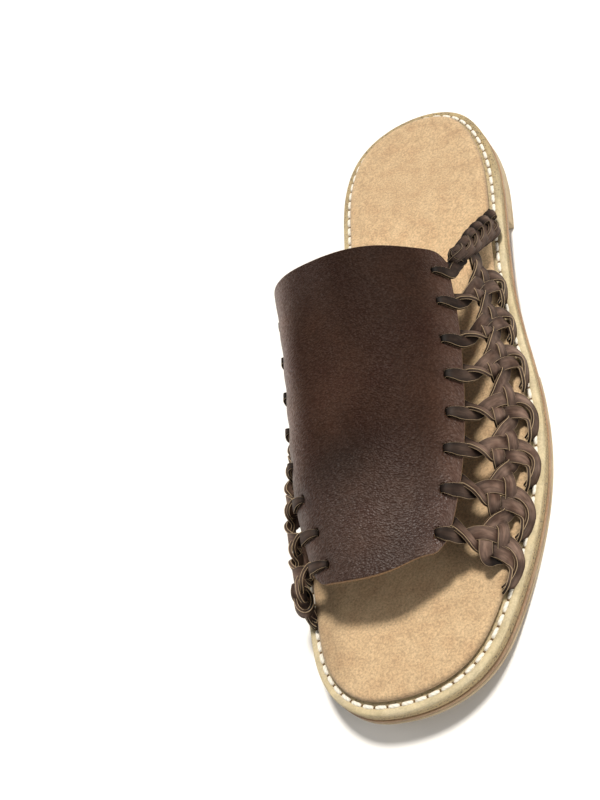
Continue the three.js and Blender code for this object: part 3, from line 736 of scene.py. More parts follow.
def plait_rows(strand):
    """Rows of one strand of the plait, from its foot up to its top."""
    rows = []
    for step in range(PLAIT_STEPS + 1):
        down = 1 - step / PLAIT_STEPS
        phase = 2 * math.pi * (down * PLAIT_TURNS + strand / PLAIT_STRANDS)
        half = lerp(*PLAIT_HALF_WIDTH, float(smooth(down, *PLAIT_WIDENS)))
        along = lerp(PLAIT_TOP[1], PLAIT_FOOT[1], down) + half * math.cos(phase)
        wave = math.sin(2 * phase) + PLAIT_SWAY * math.sin(phase)
        lift = PLAIT_BASE + PLAIT_LIFT * wave - float(fade_in(down, *PLAIT_SINK))
        roll = -PLAIT_ROLL * math.cos(phase)
        rows.append((along, lerp(PLAIT_TOP[0], PLAIT_FOOT[0], down), lift, roll, PLAIT_STRAND_WIDTH))
    return rows


def lace_routes():
    """Routes of all lengths of lace on one side: the doubled strand, the rear loop and the loops."""
    strands = []
    for start, beyond in enumerate(STRAND_STARTS):
        rows = []
        for number in range(start, LAST_STATION + 1, 2):
            rows += at_station(STRAND, number)
        strands.append([row for row in rows if beyond < row[0] < LAST_STATION])
    first, second = strands
    bight = at_station(BIGHT, LAST_STATION)
    doubled = (plait_rows(0) + at_station(STRAND_LINKS[0], 0) + first + bight + backward(second)
               + at_station(STRAND_LINKS[1], 0) + backward(plait_rows(3)))
    rear = (plait_rows(1) + at_station(REAR_INNER_LEG, 1) + at_station(LOOP_SLOT, 1)
            + at_station(REAR_OUTER_LEG, 1) + backward(plait_rows(2)))
    loops = [at_station(LOOP_INNER_LEG + LOOP_SLOT + LOOP_OUTER_LEG, number)
             for number in range(2, LAST_STATION + 1)]
    return [doubled, rear, *loops]


def knot_route():
    """One turn of lace round the foremost legs, its ends lapped at the back."""
    rows = []
    for step in range(KNOT_STEPS + 1):
        turn = math.pi * KNOT_LAP * (2 * step / KNOT_STEPS - 1)
        number = KNOT_PLACE[0] + KNOT_REACH[0] * math.cos(turn)
        rows.append((number, KNOT_PLACE[1], KNOT_LIFT + KNOT_REACH[1] * math.sin(turn), 0.0, 1.0))
    return rows


# Vamp

def vamp_grid():
    """Places of the vamp's points: across it (0 outer side, 1 inner side), station, and round the last."""
    across = np.arange(VAMP_COLUMNS + 1) / VAMP_COLUMNS
    across = across - VAMP_CROWDING * np.sin(2 * np.pi * across) / (2 * np.pi)
    c, down = np.meshgrid(across, np.arange(VAMP_ROWS + 1) / VAMP_ROWS, indexing="ij")
    collar, front = (Curve(edge[:, 0])(edge[:, 1], c) for edge in (COLLAR_EDGE, FRONT_EDGE))
    station = lerp(collar, front, down)
    outer, inner = (Curve(table[:, 1])(table[:, 3], station)
                    for table in (OUTER_STATIONS, INNER_STATIONS))
    return c, station, lerp(outer, inner, c)


def vamp_slits(point, station, round_):
    """Faces that are left open for the lace, and how far each point is drawn into the pucker."""
    middle = (station[:-1, :-1] + station[1:, 1:]) / 2
    round_middle = (round_[:-1, :-1] + round_[1:, 1:]) / 2
    step = np.linalg.norm(point[1:] - point[:-1], axis=-1).mean()
    per_round = step / np.abs(np.diff(round_, axis=0)).mean()
    gaps = np.zeros(middle.shape, bool)
    pucker = np.zeros_like(station)
    for side, across, width in SLITS:
        for number in range(1, LAST_STATION + 1):
            at, hole = side.place(number + SLIT_SHIFT, across)
            length = size("lace_width") * side.width_share(number, across) + SLIT_ROOM
            near = np.abs(middle - at) < length / 2
            gaps |= near & (np.abs(round_middle - hole) * per_round < width / 2)
            away = np.hypot(station - at, (round_ - hole) * per_round)
            pucker = np.maximum(pucker, bump(away, 0.0, PUCKER[1]))
    return gaps, pucker


def vamp_faces(grain_side, flesh_side, gaps):
    """Faces of both sides of the vamp, and the walls of its slits."""
    open_round = np.pad(gaps, 1)
    faces = []
    for i, j in np.argwhere(~gaps):
        corners = [(i, j), (i + 1, j), (i + 1, j + 1), (i, j + 1)]
        faces.append([grain_side[spot] for spot in corners])
        faces.append([flesh_side[corners[k]] for k in (0, 3, 2, 1)])
        for k, (di, dj) in enumerate(((0, -1), (1, 0), (0, 1), (-1, 0))):
            if open_round[i + 1 + di, j + 1 + dj]:
                a, b = corners[(k + 1) % 4], corners[k]
                faces.append([grain_side[a], grain_side[b], flesh_side[b], flesh_side[a]])
    return faces


def vamp_shading_and_polish(c, station, normal, pucker):
    """Painted light and shade of the vamp, and how much it shines, at each point of it."""
    tone = np.ones_like(c)
    for at, over, half_length, half_width, amount in VAMP_SHADED_PATCHES:
        along = bump(station, at + CREASE[1] * (c - over), half_length)
        tone += amount * along * bump(c, over, half_width)
    roll = smooth(-normal[..., 0], *VAMP_ROLL) * (1 - fade_in(station, *VAMP_ROLL_ENDS))
    tone += fade_in(station, *VAMP_REAR_SHADE) + fade_in(station, *VAMP_FRONT_LIGHT)
    tone += fade_in(c, *VAMP_OUTER_LIGHT) + VAMP_ROLL_SHEEN * roll - PUCKER_SHADE * pucker
    polish = (VAMP_POLISH + fade_in(station, *VAMP_FRONT_POLISH) + fade_in(c, *VAMP_OUTER_POLISH)
              + VAMP_ROLL_POLISH * roll)
    return tone, polish


# Materials

# A Mix node's numbered sockets: share, both vectors and their mix, both colours and their mix
SHARE = 0
VECTOR_A, VECTOR_B, MIXED_VECTOR = 4, 5, 1
COLOUR_A, COLOUR_B, MIXED_COLOUR = 6, 7, 2
BLEND = {"data_type": "RGBA"}
MULTIPLY = {"data_type": "RGBA", "blend_type": "MULTIPLY"}


def feed(tree, made, sockets):
    """Gives each named socket of a node a value or a link."""
    for key, value in sockets.items():
        if isinstance(value, bpy.types.NodeSocket):
            tree.links.new(value, made.inputs[key])
        else:
            made.inputs[key].default_value = value


def node(tree, kind, output, sockets=None, **settings):
    """Adds a node with its settings and links, and gives back one of its outputs."""
    made = tree.nodes.new("ShaderNode" + kind)
    for key, value in settings.items():
        setattr(made, key, value)
    feed(tree, made, sockets or {})
    return made.outputs[output]


def start_material(name):
    material = bpy.data.materials.new(name)
    material.use_nodes = True
    tree = material.node_tree
    shader = tree.nodes["Principled BSDF"]
    shader.inputs["Metallic"].default_value = 0.0
    return material, tree, shader


def with_alpha(colour):
    return (*colour, 1.0)


def per_mm(pattern):
    """Texture scale that gives a pattern of this size in millimetres, on coordinates in metres."""
    return 1.0 / (pattern * MM)


def full_grain_leather(name, colours):
    """Dyed full-grain cowhide, drum milled: a fine pebbled grain with soft ripples, uneven dye in large
    patches, raw fibres at its cut edges, and a low wax sheen on the tops of the grain."""
    material, tree, shader = start_material(name)
    hide = node(tree, "Attribute", "Vector", attribute_name="hide")
    tone, raw, polish = (node(tree, "Attribute", "Fac", attribute_name=key)
                         for key in ("tone", "raw", "polish"))
    stretch = node(tree, "Mapping", "Vector", {"Vector": hide, "Scale": (0.8, 1.0, 1.0)})
    wobble = node(tree, "TexNoise", "Color", {"Vector": stretch, "Scale": per_mm(5.0)})
    shifted = node(tree, "Mix", MIXED_VECTOR, {SHARE: 0.0012, VECTOR_A: stretch, VECTOR_B: wobble},
                   data_type="VECTOR")
    # The real grain is finer than this: pebbles and ripples are drawn coarser, so that they show
    pebbles = node(tree, "TexVoronoi", "Distance", {"Vector": shifted, "Scale": per_mm(0.7)},
                   feature="SMOOTH_F1")
    ripples = node(tree, "TexNoise", "Fac", {"Vector": stretch, "Scale": per_mm(0.6), "Detail": 0.0})
    patches = node(tree, "TexNoise", "Fac", {
        "Vector": hide, "Scale": per_mm(26.0), "Detail": 3.0, "Roughness": 0.6})
    base = node(tree, "ValToRGB", "Color", {"Fac": patches})
    stops = base.node.color_ramp.elements
    stops.new(0.52)
    for stop, place, key in zip(stops, (0.36, 0.52, 0.66), ("dark", "main", "light")):
        stop.position = place
        stop.color = with_alpha(colours[key])
    # Painted light and shade on the grain: lighter pebble tops, darker valleys, times the vamp's painted
    # light and shade
    pebble_shading = node(tree, "MapRange", "Result", {
        "Value": pebbles, "From Min": 0.1, "From Max": 0.6, "To Min": 1.2, "To Max": 0.8})
    shade = node(tree, "Math", "Value", {0: pebble_shading, 1: tone}, operation="MULTIPLY")
    tinted = node(tree, "Mix", MIXED_COLOUR, {SHARE: 1.0, COLOUR_A: base, COLOUR_B: shade}, **MULTIPLY)
    colour = node(tree, "Mix", MIXED_COLOUR, {
        SHARE: raw, COLOUR_A: tinted, COLOUR_B: with_alpha(colours["raw"])}, **BLEND)
    height = node(tree, "Math", "Value", {0: ripples, 1: pebbles}, operation="SUBTRACT")
    relief = node(tree, "Bump", "Normal", {"Strength": 0.8, "Distance": 0.0004, "Height": height})
    gloss = node(tree, "MapRange", "Result", {
        "Value": patches, "From Min": 0.3, "From Max": 0.7, "To Min": 0.44, "To Max": 0.56})
    tops = node(tree, "MapRange", "Result", {
        "Value": pebbles, "From Min": 0.1, "From Max": 0.6, "To Min": 1.4, "To Max": 0.6})
    sheen = node(tree, "Math", "Value", {0: tops, 1: polish}, operation="MULTIPLY")
    feed(tree, shader, {
        "Base Color": colour, "Roughness": gloss, "Normal": relief, "Specular IOR Level": sheen})
    return material


def lace_leather(name, colours):
    """Dyed leather cut into flat lace: smooth dark faces with faint stretch lines along the run, and
    pale raw fibres where the knife cut its edges."""
    material, tree, shader = start_material(name)
    run = node(tree, "Attribute", "Vector", attribute_name="run")
    edge, tone = (node(tree, "Attribute", "Fac", attribute_name=key) for key in ("edge", "tone"))
    long_run = node(tree, "Mapping", "Vector", {"Vector": run, "Scale": (0.25, 1.0, 1.0)})
    # Real stretch lines are hair fine: these are drawn coarser, so that they show
    lines = node(tree, "TexNoise", "Fac", {"Vector": long_run, "Scale": per_mm(0.9), "Detail": 3.0})
    patches = node(tree, "TexNoise", "Fac", {"Vector": run, "Scale": per_mm(7.0), "Detail": 2.0})
    mix = node(tree, "MapRange", "Result", {"Value": patches, "From Min": 0.35, "From Max": 0.68})
    dyed = node(tree, "Mix", MIXED_COLOUR, {
        SHARE: mix, COLOUR_A: with_alpha(colours["dark"]), COLOUR_B: with_alpha(colours["light"])}, **BLEND)
    streak = node(tree, "MapRange", "Result", {
        "Value": lines, "From Min": 0.3, "From Max": 0.7, "To Min": 0.66, "To Max": 1.24})
    # Dye darkened and lightened by the lace's painted light and shade
    shade = node(tree, "Math", "Value", {0: streak, 1: tone}, operation="MULTIPLY")
    face = node(tree, "Mix", MIXED_COLOUR, {SHARE: 1.0, COLOUR_A: dyed, COLOUR_B: shade}, **MULTIPLY)
    cut = node(tree, "Mix", MIXED_COLOUR, {
        SHARE: edge, COLOUR_A: face, COLOUR_B: with_alpha(colours["edge"])}, **BLEND)
    relief = node(tree, "Bump", "Normal", {"Strength": 0.25, "Distance": 0.0003, "Height": lines})
    feed(tree, shader, {
        "Base Color": cut, "Normal": relief, "Roughness": 0.58, "Specular IOR Level": 0.12})
    return material


def split_suede(name, colours):
    """Split suede: short soft nap that scatters light, cloudy where it was brushed, with fine darker
    fibres, a darker crease inside its rolled edge and a rubbed toe."""
    material, tree, shader = start_material(name)
    place = node(tree, "TexCoord", "Object")
    wear = node(tree, "Attribute", "Fac", attribute_name="wear")
    clouds = node(tree, "TexNoise", "Fac", {
        "Vector": place, "Scale": per_mm(9.0), "Detail": 4.0, "Roughness": 0.62})
    # Real fibres are far finer: the nap is drawn in small tufts, so that it shows
    nap = node(tree, "TexNoise", "Fac", {
        "Vector": place, "Scale": per_mm(0.85), "Detail": 3.0, "Roughness": 0.7})
    base = node(tree, "ValToRGB", "Color", {"Fac": clouds})
    stops = base.node.color_ramp.elements
    stops.new(0.5)
    for stop, at, key in zip(stops, (0.34, 0.5, 0.68), ("dark", "main", "light")):
        stop.position = at
        stop.color = with_alpha(colours[key])
    fleck = node(tree, "MapRange", "Result", {
        "Value": nap, "From Min": 0.32, "From Max": 0.66, "To Min": 0.66, "To Max": 1.18})
    # Times the suede's wear, with its painted shade at the heel and painted light at the waist
    shade = node(tree, "Math", "Value", {0: fleck, 1: wear}, operation="MULTIPLY")
    colour = node(tree, "Mix", MIXED_COLOUR, {SHARE: 1.0, COLOUR_A: base, COLOUR_B: shade}, **MULTIPLY)
    relief = node(tree, "Bump", "Normal", {"Strength": 0.35, "Distance": 0.0004, "Height": nap})
    feed(tree, shader, {
        "Base Color": colour, "Normal": relief, "Roughness": 0.95, "Specular IOR Level": 0.2,
        "Sheen Weight": 0.15, "Sheen Roughness": 0.6})
    return material


def sole_leather(name, colours, roughness, layer, fleck_low):
    """Vegetable-tanned sole leather with a cut edge: pale compressed fibres in thin layers along the
    edge, darker pores and pits, and a matt to burnished face."""
    material, tree, shader = start_material(name)
    place = node(tree, "TexCoord", "Object")
    shaded = node(tree, "Attribute", "Fac", attribute_name="shade")
    flat = node(tree, "Mapping", "Vector", {"Vector": place, "Scale": (0.12, 0.12, 1.0)})
    fibres = node(tree, "TexNoise", "Fac", {"Vector": flat, "Scale": per_mm(layer), "Detail": 3.0})
    # Real pores and pits are a few tenths of a millimetre: they are drawn coarser, so that they show
    pores = node(tree, "TexNoise", "Fac", {
        "Vector": place, "Scale": per_mm(1.0), "Detail": 4.0, "Roughness": 0.7})
    cells = node(tree, "TexVoronoi", "Distance", {"Vector": place, "Scale": per_mm(1.1)})
    clouds = node(tree, "TexNoise", "Fac", {"Vector": place, "Scale": per_mm(14.0), "Detail": 3.0})
    mix = node(tree, "MapRange", "Result", {"Value": clouds, "From Min": 0.35, "From Max": 0.65})
    base = node(tree, "Mix", MIXED_COLOUR, {
        SHARE: mix, COLOUR_A: with_alpha(colours["main"]), COLOUR_B: with_alpha(colours["light"])}, **BLEND)
    # Towards the dark colour by the shade attribute: raw sides, layers and the rim by the heel, and the
    # painted shade of the midsole's groove
    aged = node(tree, "Mix", MIXED_COLOUR, {
        SHARE: shaded, COLOUR_A: base, COLOUR_B: with_alpha(colours["dark"])}, **BLEND)
    grain = node(tree, "Math", "Value", {0: fibres, 1: pores}, operation="ADD")
    fleck = node(tree, "MapRange", "Result", {
        "Value": grain, "From Min": 0.75, "From Max": 1.2, "To Min": fleck_low, "To Max": 1.08})
    colour = node(tree, "Mix", MIXED_COLOUR, {SHARE: 1.0, COLOUR_A: aged, COLOUR_B: fleck}, **MULTIPLY)
    pits = node(tree, "MapRange", "Result", {
        "Value": cells, "From Min": 0.1, "From Max": 0.45, "To Min": 0.2, "To Max": 1.12})
    pitted = node(tree, "Mix", MIXED_COLOUR, {SHARE: shaded, COLOUR_A: colour, COLOUR_B: pits}, **MULTIPLY)
    rough = node(tree, "Math", "Value", {0: pits, 1: shaded, 2: grain}, operation="MULTIPLY_ADD")
    relief = node(tree, "Bump", "Normal", {"Strength": 0.4, "Distance": 0.0004, "Height": rough})
    feed(tree, shader, {"Base Color": pitted, "Normal": relief, "Roughness": roughness})
    return material


def waxed_thread(name, colours):
    """Waxed polyester thread: bright white, with the slanted ridges of its twisted plies."""
    material, tree, shader = start_material(name)
    run = node(tree, "Attribute", "Vector", attribute_name="run")
    slant = node(tree, "Mapping", "Vector", {"Vector": run, "Rotation": (0.0, 0.0, 0.7)})
    # Bands repeat after 0.31 of the wave's size: ridges 1.4 mm apart, drawn coarser so that they show
    plies = node(tree, "TexWave", "Fac", {"Vector": slant, "Scale": per_mm(4.5)},
                 wave_type="BANDS", bands_direction="X")
    shade = node(tree, "MapRange", "Result", {"Value": plies, "To Min": 0.82, "To Max": 1.0})
    colour = node(tree, "Mix", MIXED_COLOUR, {
        SHARE: 1.0, COLOUR_A: with_alpha(colours["main"]), COLOUR_B: shade}, **MULTIPLY)
    relief = node(tree, "Bump", "Normal", {"Strength": 0.4, "Distance": 0.0002, "Height": plies})
    feed(tree, shader, {"Base Color": colour, "Normal": relief, "Roughness": 0.5})
    return material


def matt_floor(name, colours):
    """Matt painted floor: plain and pale, with a faint unevenness."""
    material, tree, shader = start_material(name)
    place = node(tree, "TexCoord", "Object")
    grain = node(tree, "TexNoise", "Fac", {"Vector": place, "Scale": per_mm(40.0)})
    shade = node(tree, "MapRange", "Result", {"Value": grain, "To Min": 0.985, "To Max": 1.0})
    colour = node(tree, "Mix", MIXED_COLOUR, {
        SHARE: 1.0, COLOUR_A: with_alpha(colours["main"]), COLOUR_B: shade}, **MULTIPLY)
    feed(tree, shader, {"Base Color": colour, "Roughness": 0.9})
    return material


# Settings that a user would change

def colour_property(label, words, hex_text):
    return bpy.props.FloatVectorProperty(
        name=label, description=words, subtype="COLOR", size=3, min=0.0, max=1.0, default=linear(hex_text))


def size_property(label, words, millimetres):
    return bpy.props.FloatProperty(
        name=label, description=words, subtype="DISTANCE", unit="LENGTH", precision=4, min=0.0,
        default=millimetres * MM)


class SandalSizes(bpy.types.PropertyGroup):
    """Sizes that a user would change."""
    lace_width: size_property("Lace width", "Width of the flat lace", 5.2)
    lace_thickness: size_property("Lace thickness", "Thickness of the flat lace", 1.3)
    stitch_pitch: size_property("Stitch pitch", "Distance between two stitches of the rim", 5.3)
    stitch_length: size_property("Stitch length", "Length of thread that shows in one stitch", 4.9)
    stitch_inset: size_property("Stitch inset", "Distance of the stitches from the edge", 3.3)
    thread_width: size_property("Thread width", "Width of the sewing thread", 1.7)
    crease_depth: size_property("Crease depth", "Depth of the soft crease across the vamp", 1.3)


class SandalColours(bpy.types.PropertyGroup):
    """Colours of the finishes: the first word of a name is the finish, the second its place."""
    vamp_main: colour_property("Vamp", "Main dye of the vamp", "33221a")
    vamp_dark: colour_property("Vamp dark", "Darker patches of the vamp", "301e17")
    vamp_light: colour_property("Vamp light", "Redder patches of the vamp", "38251c")
    vamp_raw: colour_property("Vamp edge", "Raw cut edge of the vamp", "8e7154")
    lace_dark: colour_property("Lace dark", "Darker dye of the lace", "3b2b23")
    lace_light: colour_property("Lace light", "Lighter dye of the lace", "635147")
    lace_edge: colour_property("Lace edge", "Raw cut edge of the lace", "bfa684")
    suede_main: colour_property("Suede", "Main colour of the suede", "c2a580")
    suede_dark: colour_property("Suede dark", "Darker clouds of the suede", "ba9b77")
    suede_light: colour_property("Suede light", "Lighter clouds of the suede", "c8ac87")
    rim_main: colour_property("Rim", "Natural leather of the midsole", "c1b08a")
    rim_light: colour_property("Rim light", "Lighter patches of the midsole", "cbbc9a")
    rim_dark: colour_property("Rim edge", "Raw side of the midsole", "9a8660")
    outsole_main: colour_property("Outsole", "Burnished edge of the outsole", "9c7a57")
    outsole_light: colour_property("Outsole light", "Lighter streaks of the outsole", "ad8f6c")
    outsole_dark: colour_property("Outsole dark", "Darker streaks of the outsole", "75563c")
    heel_main: colour_property("Heel", "Pale leather of the heel and half sole", "ab9779")
    heel_light: colour_property("Heel light", "Lighter patches of heel and half sole", "b8a78a")
    heel_dark: colour_property("Heel dark", "Darker layers of heel and half sole", "907b60")
    thread_main: colour_property("Thread", "Sewing thread", "eee8da")
    hole_main: colour_property("Stitch hole", "Shade in the stitch holes", "6a5235")
    floor_main: colour_property("Floor", "Plain studio floor", "f4f3f1")


def palette(finish):
    """Colours of one finish, by their place."""
    colours = bpy.context.scene.sandal_colours
    names = [name for name in colours.bl_rna.properties.keys() if name.startswith(finish + "_")]
    return {name.split("_")[1]: tuple(getattr(colours, name)) for name in names}


def size(name):
    """Size that a user would change, in millimetres."""
    return getattr(bpy.context.scene.sandal_sizes, name) / MM


class SANDAL_OT_sole(bpy.types.Operator):
    """Builds the half sole, heel lift, outsole and midsole"""
    bl_idname = "sandal.sole"
    bl_label = "Sole layers"

    def execute(self, context):
        flare = -OUTSOLE_FLARE
        top = OUTSOLE_BOTTOM - SEAT_GAP
        shoulder = [(flare, top - EDGE_ROUND), (flare + EDGE_ROUND, top), (flare + LAYER_REACH, top)]
        half_levels = [
            (flare + LAYER_REACH, 0.0), (flare + EDGE_ROUND, 0.0), (flare, EDGE_ROUND), *shoulder]
        heel_levels = [
            (HEEL_REACH - HEEL_FLARE, lambda station: np.zeros_like(station)),
            (HEEL_ROUND[0] - HEEL_FLARE, lambda station: np.zeros_like(station)),
            (-HEEL_FLARE, lambda station: np.full_like(station, HEEL_ROUND[1])),
            (lerp(-HEEL_FLARE, flare, 0.5), lambda station: (rise(station) + top) / 2),
            *shoulder]
        outsole_levels = [(flare + inset, OUTSOLE_BOTTOM + height) for inset, height in OUTSOLE_EDGE]
        outsole_levels.insert(0, (flare + LAYER_REACH, OUTSOLE_BOTTOM))

        heel = sole_leather("stacked_heel_leather", palette("heel"), 0.75, 1.1, 0.82)
        half = sole_leather("half_sole_leather", palette("heel"), 0.75, 1.4, 0.85)
        burnished = sole_leather("burnished_outsole_leather", palette("outsole"), 0.42, 0.8, 0.7)
        natural = sole_leather("natural_midsole_leather", palette("rim"), 0.7, 1.0, 0.72)
        for name, solid, start, end, levels, leather, slot, shade in (
                ("half_sole_visual", "half_sole", HALF_SOLE_START, LENGTH, half_levels, half,
                 "half_sole_leather", 0.1),
                ("heel_lift_visual", "heel_lift", 0.0, HEEL_BREAST, heel_levels, heel,
                 "heel_leather", 0.15),
                ("outsole_visual", "outsole", 0.0, LENGTH, outsole_levels, burnished,
                 "outsole_leather", 0.3)):
            piece, points, _ = sole_loft(name, start, end, SOLE_ROWS, levels)
            point_values(piece, shade=np.full(len(points), shade))
            carry(piece, leather, slot, solid)

        midsole, points, inset = sole_loft("midsole_visual", 0.0, LENGTH, SOLE_ROWS * 2, [
            (inset, MIDSOLE_TOP + height) for inset, height in MIDSOLE_EDGE])
        station = LENGTH / 2 - points[:, 1]
        depth = rise(station) + MIDSOLE_TOP - points[:, 2]
        side = smooth(depth, *RIM_SIDE_DEPTH) * (inset < RIM_SIDE_INSET)
        # Painted shade in the groove beside the insole
        groove_shade = patch(inset, *RIM_GROOVE_SHADE) * (depth < RIM_GROOVE_DEPTH)
        heel_side = fade_in(station, *RIM_HEEL)
        point_values(midsole, shade=np.maximum(np.maximum(side, heel_side), groove_shade))
        carry(midsole, natural, "midsole_leather", "midsole")
        return {"FINISHED"}


class SANDAL_OT_insole(bpy.types.Operator):
    """Builds the suede insole with its rolled edge"""
    bl_idname = "sandal.insole"
    bl_label = "Insole"

    def execute(self, context):
        base = MIDSOLE_TOP + SEAT_GAP

        def footbed(points, inset):
            station = LENGTH / 2 - points[:, 1]
            hollow = patch(station, *FOOTBED_HEEL) + patch(station, *FOOTBED_BALL)
            return -smooth(inset, *FOOTBED_SPAN) * hollow

        insole, points, inset = sole_loft("insole_visual", 0.0, LENGTH, SOLE_ROWS, [
            (inset, base + height) for inset, height in INSOLE_EDGE], INSOLE_COLUMNS, footbed)
        station = LENGTH / 2 - points[:, 1]
        edge = patch(inset, *SUEDE_CREASE) + fade_in(inset, *SUEDE_EDGE)
        toe = (patch(station, *SUEDE_TOE) * smooth(-points[:, 0], *SUEDE_TOE_SIDE)
               * smooth(inset, *SUEDE_TOE_INSET))
        # Painted shade at the heel and painted light at the waist
        heel = fade_in(station, *SUEDE_HEEL_SHADE) + patch(station, *SUEDE_WAIST_LIGHT)
        point_values(insole, wear=1 - np.clip(edge + toe + heel, *SUEDE_WEAR_AND_SHADING_LIMITS))
        carry(insole, split_suede("tan_split_suede", palette("suede")), "insole_suede", "insole")
        return {"FINISHED"}


class SANDAL_OT_stitching(bpy.types.Operator):
    """Builds the lockstitch round the rim, and dark posts that paint the shade in the holes between its
    stitches
    """
    bl_idname = "sandal.stitching"
    bl_label = "Rim stitching"

    def execute(self, context):
        turns = np.linspace(0, 2 * np.pi, RIM_STEPS + 1)
        run = run_along(inset_outline(turns, size("stitch_inset")))
        count = int(round(run[-1] / size("stitch_pitch")))
        pitch = run[-1] / count
        angles = np.arange(STITCH_SIDES) * 2 * np.pi / STITCH_SIDES

        def on_rim(at):
            """Places on the stitch line, and the height of the rim there."""
            spot = inset_outline(np.interp(np.mod(at, run[-1]), run, turns), size("stitch_inset"))
            return spot, rise(LENGTH / 2 - spot[..., 1]) + MIDSOLE_TOP

        share = np.linspace(-1, 1, STITCH_RINGS)
        at = (np.arange(count)[:, None] + 0.5) * pitch + share * size("stitch_length") / 2
        spot, ground = on_rim(at)
        along = unit(np.gradient(spot, axis=1))
        aside = np.stack([-along[..., 1], along[..., 0]], -1)
        half = size("thread_width") / 2 * np.sqrt(1 - STITCH_TAPER * share ** 4)[:, None]
        level = ground + STITCH_LIFT - STITCH_DIP * share ** 4
        xy = spot[:, :, None] + aside[:, :, None] * (half * np.cos(angles))[..., None]
        z = level[..., None] + half * STITCH_FLATNESS * np.sin(angles)
        runs = np.stack(np.broadcast_arrays(at[..., None] * MM, half * angles * MM, 0.0), -1)
        thread = self.posts("rim_stitches", xy, z)
        point_values(thread, run=runs.reshape(-1, 3))
        carry(thread, waxed_thread("waxed_white_thread", palette("thread")), "midsole_leather")

        # Painted shade in the stitch holes: short dark posts sunk in the rim between the stitches
        spot, ground = on_rim(np.arange(count) * pitch)
        circle = HOLE_RADIUS * np.stack([np.cos(angles), np.sin(angles)], -1)
        xy = np.repeat((spot[:, None] + circle)[:, None], len(HOLE_LEVELS), axis=1)
        z = ground[:, None, None] + np.array(HOLE_LEVELS)[:, None] + np.zeros(STITCH_SIDES)
        holes = self.posts("stitch_holes", xy, z)
        point_values(holes, shade=np.zeros(z.size))
        dark = dict.fromkeys(("main", "light", "dark"), palette("hole")["main"])
        carry(holes, sole_leather("stitch_hole_leather", dark, 0.9, 1.0, 0.8), "midsole_leather")
        return {"FINISHED"}

    def posts(self, name, xy, z):
        """Piece of many closed tubes, from their points by tube, ring and side."""
        tubes, rings, ring = z.shape
        faces = []
        for k in range(tubes):
            faces += capped_tube(k * rings * ring, rings, ring)
        return make_mesh(name, np.concatenate([xy, z[..., None]], -1).reshape(-1, 3), faces)


class SANDAL_OT_vamp(bpy.types.Operator):
    """Builds the vamp panel with its lace slits"""
    bl_idname = "sandal.vamp"
    bl_label = "Vamp"

    def execute(self, context):
        c, station, round_ = vamp_grid()
        point, _, normal = last_frame(station, round_)
        crease = bump(station, CREASE[0] + CREASE[1] * c, CREASE_WIDTH)
        crease = crease * smooth(c, *CREASE_OUTER_END) * smooth(c, *CREASE_INNER_END)
        point = point - normal * (size("crease_depth") * crease)[..., None]
        gaps, pucker = vamp_slits(point, station, round_)
        point = point - normal * (PUCKER[0] * pucker)[..., None]

        columns, rows = c.shape
        i, j = np.array([(i, 0) for i in range(columns - 1)] + [(columns - 1, j) for j in range(rows - 1)]
                        + [(i, rows - 1) for i in range(columns - 1, 0, -1)]
                        + [(0, j) for j in range(rows - 1, 0, -1)]).T
        rim, rim_normal = point[i, j], normal[i, j]
        outward = unit(np.cross(np.roll(rim, -1, 0) - np.roll(rim, 1, 0), rim_normal))
        if np.mean(np.sum(outward * (rim - point.mean((0, 1))), -1)) < 0:
            outward = -outward
        half = VAMP_WALL / 2
        edge = [rim + outward * VAMP_EDGE_ROUND + rim_normal * half * lift for lift in VAMP_EDGE_LIFTS]
        walls = [(point + normal * half).reshape(-1, 3), (point - normal * half).reshape(-1, 3)]
        points = np.concatenate(walls + edge)

        grain_side, flesh_side = np.arange(2 * c.size).reshape(2, columns, rows)
        faces = vamp_faces(grain_side, flesh_side, gaps)
        round_edge = 2 * c.size + np.arange(2 * len(rim)).reshape(2, -1)
        bands = [grain_side[i, j], *round_edge, flesh_side[i, j]]
        for upper, lower in zip(bands, bands[1:]):
            faces += np.stack([upper, lower, np.roll(lower, -1), np.roll(upper, -1)], -1).tolist()
        used = np.unique(np.concatenate(faces))
        order = np.full(len(points), -1)
        order[used] = np.arange(len(used))
        piece = make_mesh("vamp_visual", points[used], [order[face].tolist() for face in faces])
        face_out(piece)

        girth = run_along(point)
        girth = girth - girth[columns // 2]
        hide = np.stack([girth, run_along(point, 1), np.zeros_like(girth)], -1)
        tone, polish = vamp_shading_and_polish(c, station, normal, pucker)
        rim_polish = np.full(len(rim), VAMP_RIM_POLISH)
        raw = np.repeat((0.0, VAMP_FLESH_RAW, 1.0), (c.size, c.size, 2 * len(rim)))

        def spread(on_grid, on_rim):
            """Values of all points, from those of the grid and of its edge."""
            flat = on_grid.reshape(c.size, *on_grid.shape[2:])
            return np.concatenate([flat, flat, on_rim, on_rim])[used]

        point_values(piece, hide=spread(hide, hide[i, j]) * MM, tone=spread(tone, tone[i, j]),
                     polish=spread(polish, rim_polish), raw=raw[used])
        leather = full_grain_leather("brown_full_grain_leather", palette("vamp"))
        carry(piece, leather, "vamp_leather", "vamp")
        return {"FINISHED"}


class SANDAL_OT_lacing(bpy.types.Operator):
    """Builds the flat lace of both sides, with its pale cut edges"""
    bl_idname = "sandal.lacing"
    bl_label = "Lacing"

    def execute(self, context):
        leather = lace_leather("brown_lace_leather", palette("lace"))
        knot = [knot_route(), at_station(KNOT_CORE, LAST_STATION)]
        outer = lace_piece("lacing_outer_visual", OUTER_SIDE, lace_routes())
        carry(outer, leather, "lace_leather", "lacing_outer")
        inner = lace_piece("lacing_inner_visual", INNER_SIDE, lace_routes() + knot)
        carry(inner, leather, "lace_leather", "lacing_inner")
        return {"FINISHED"}


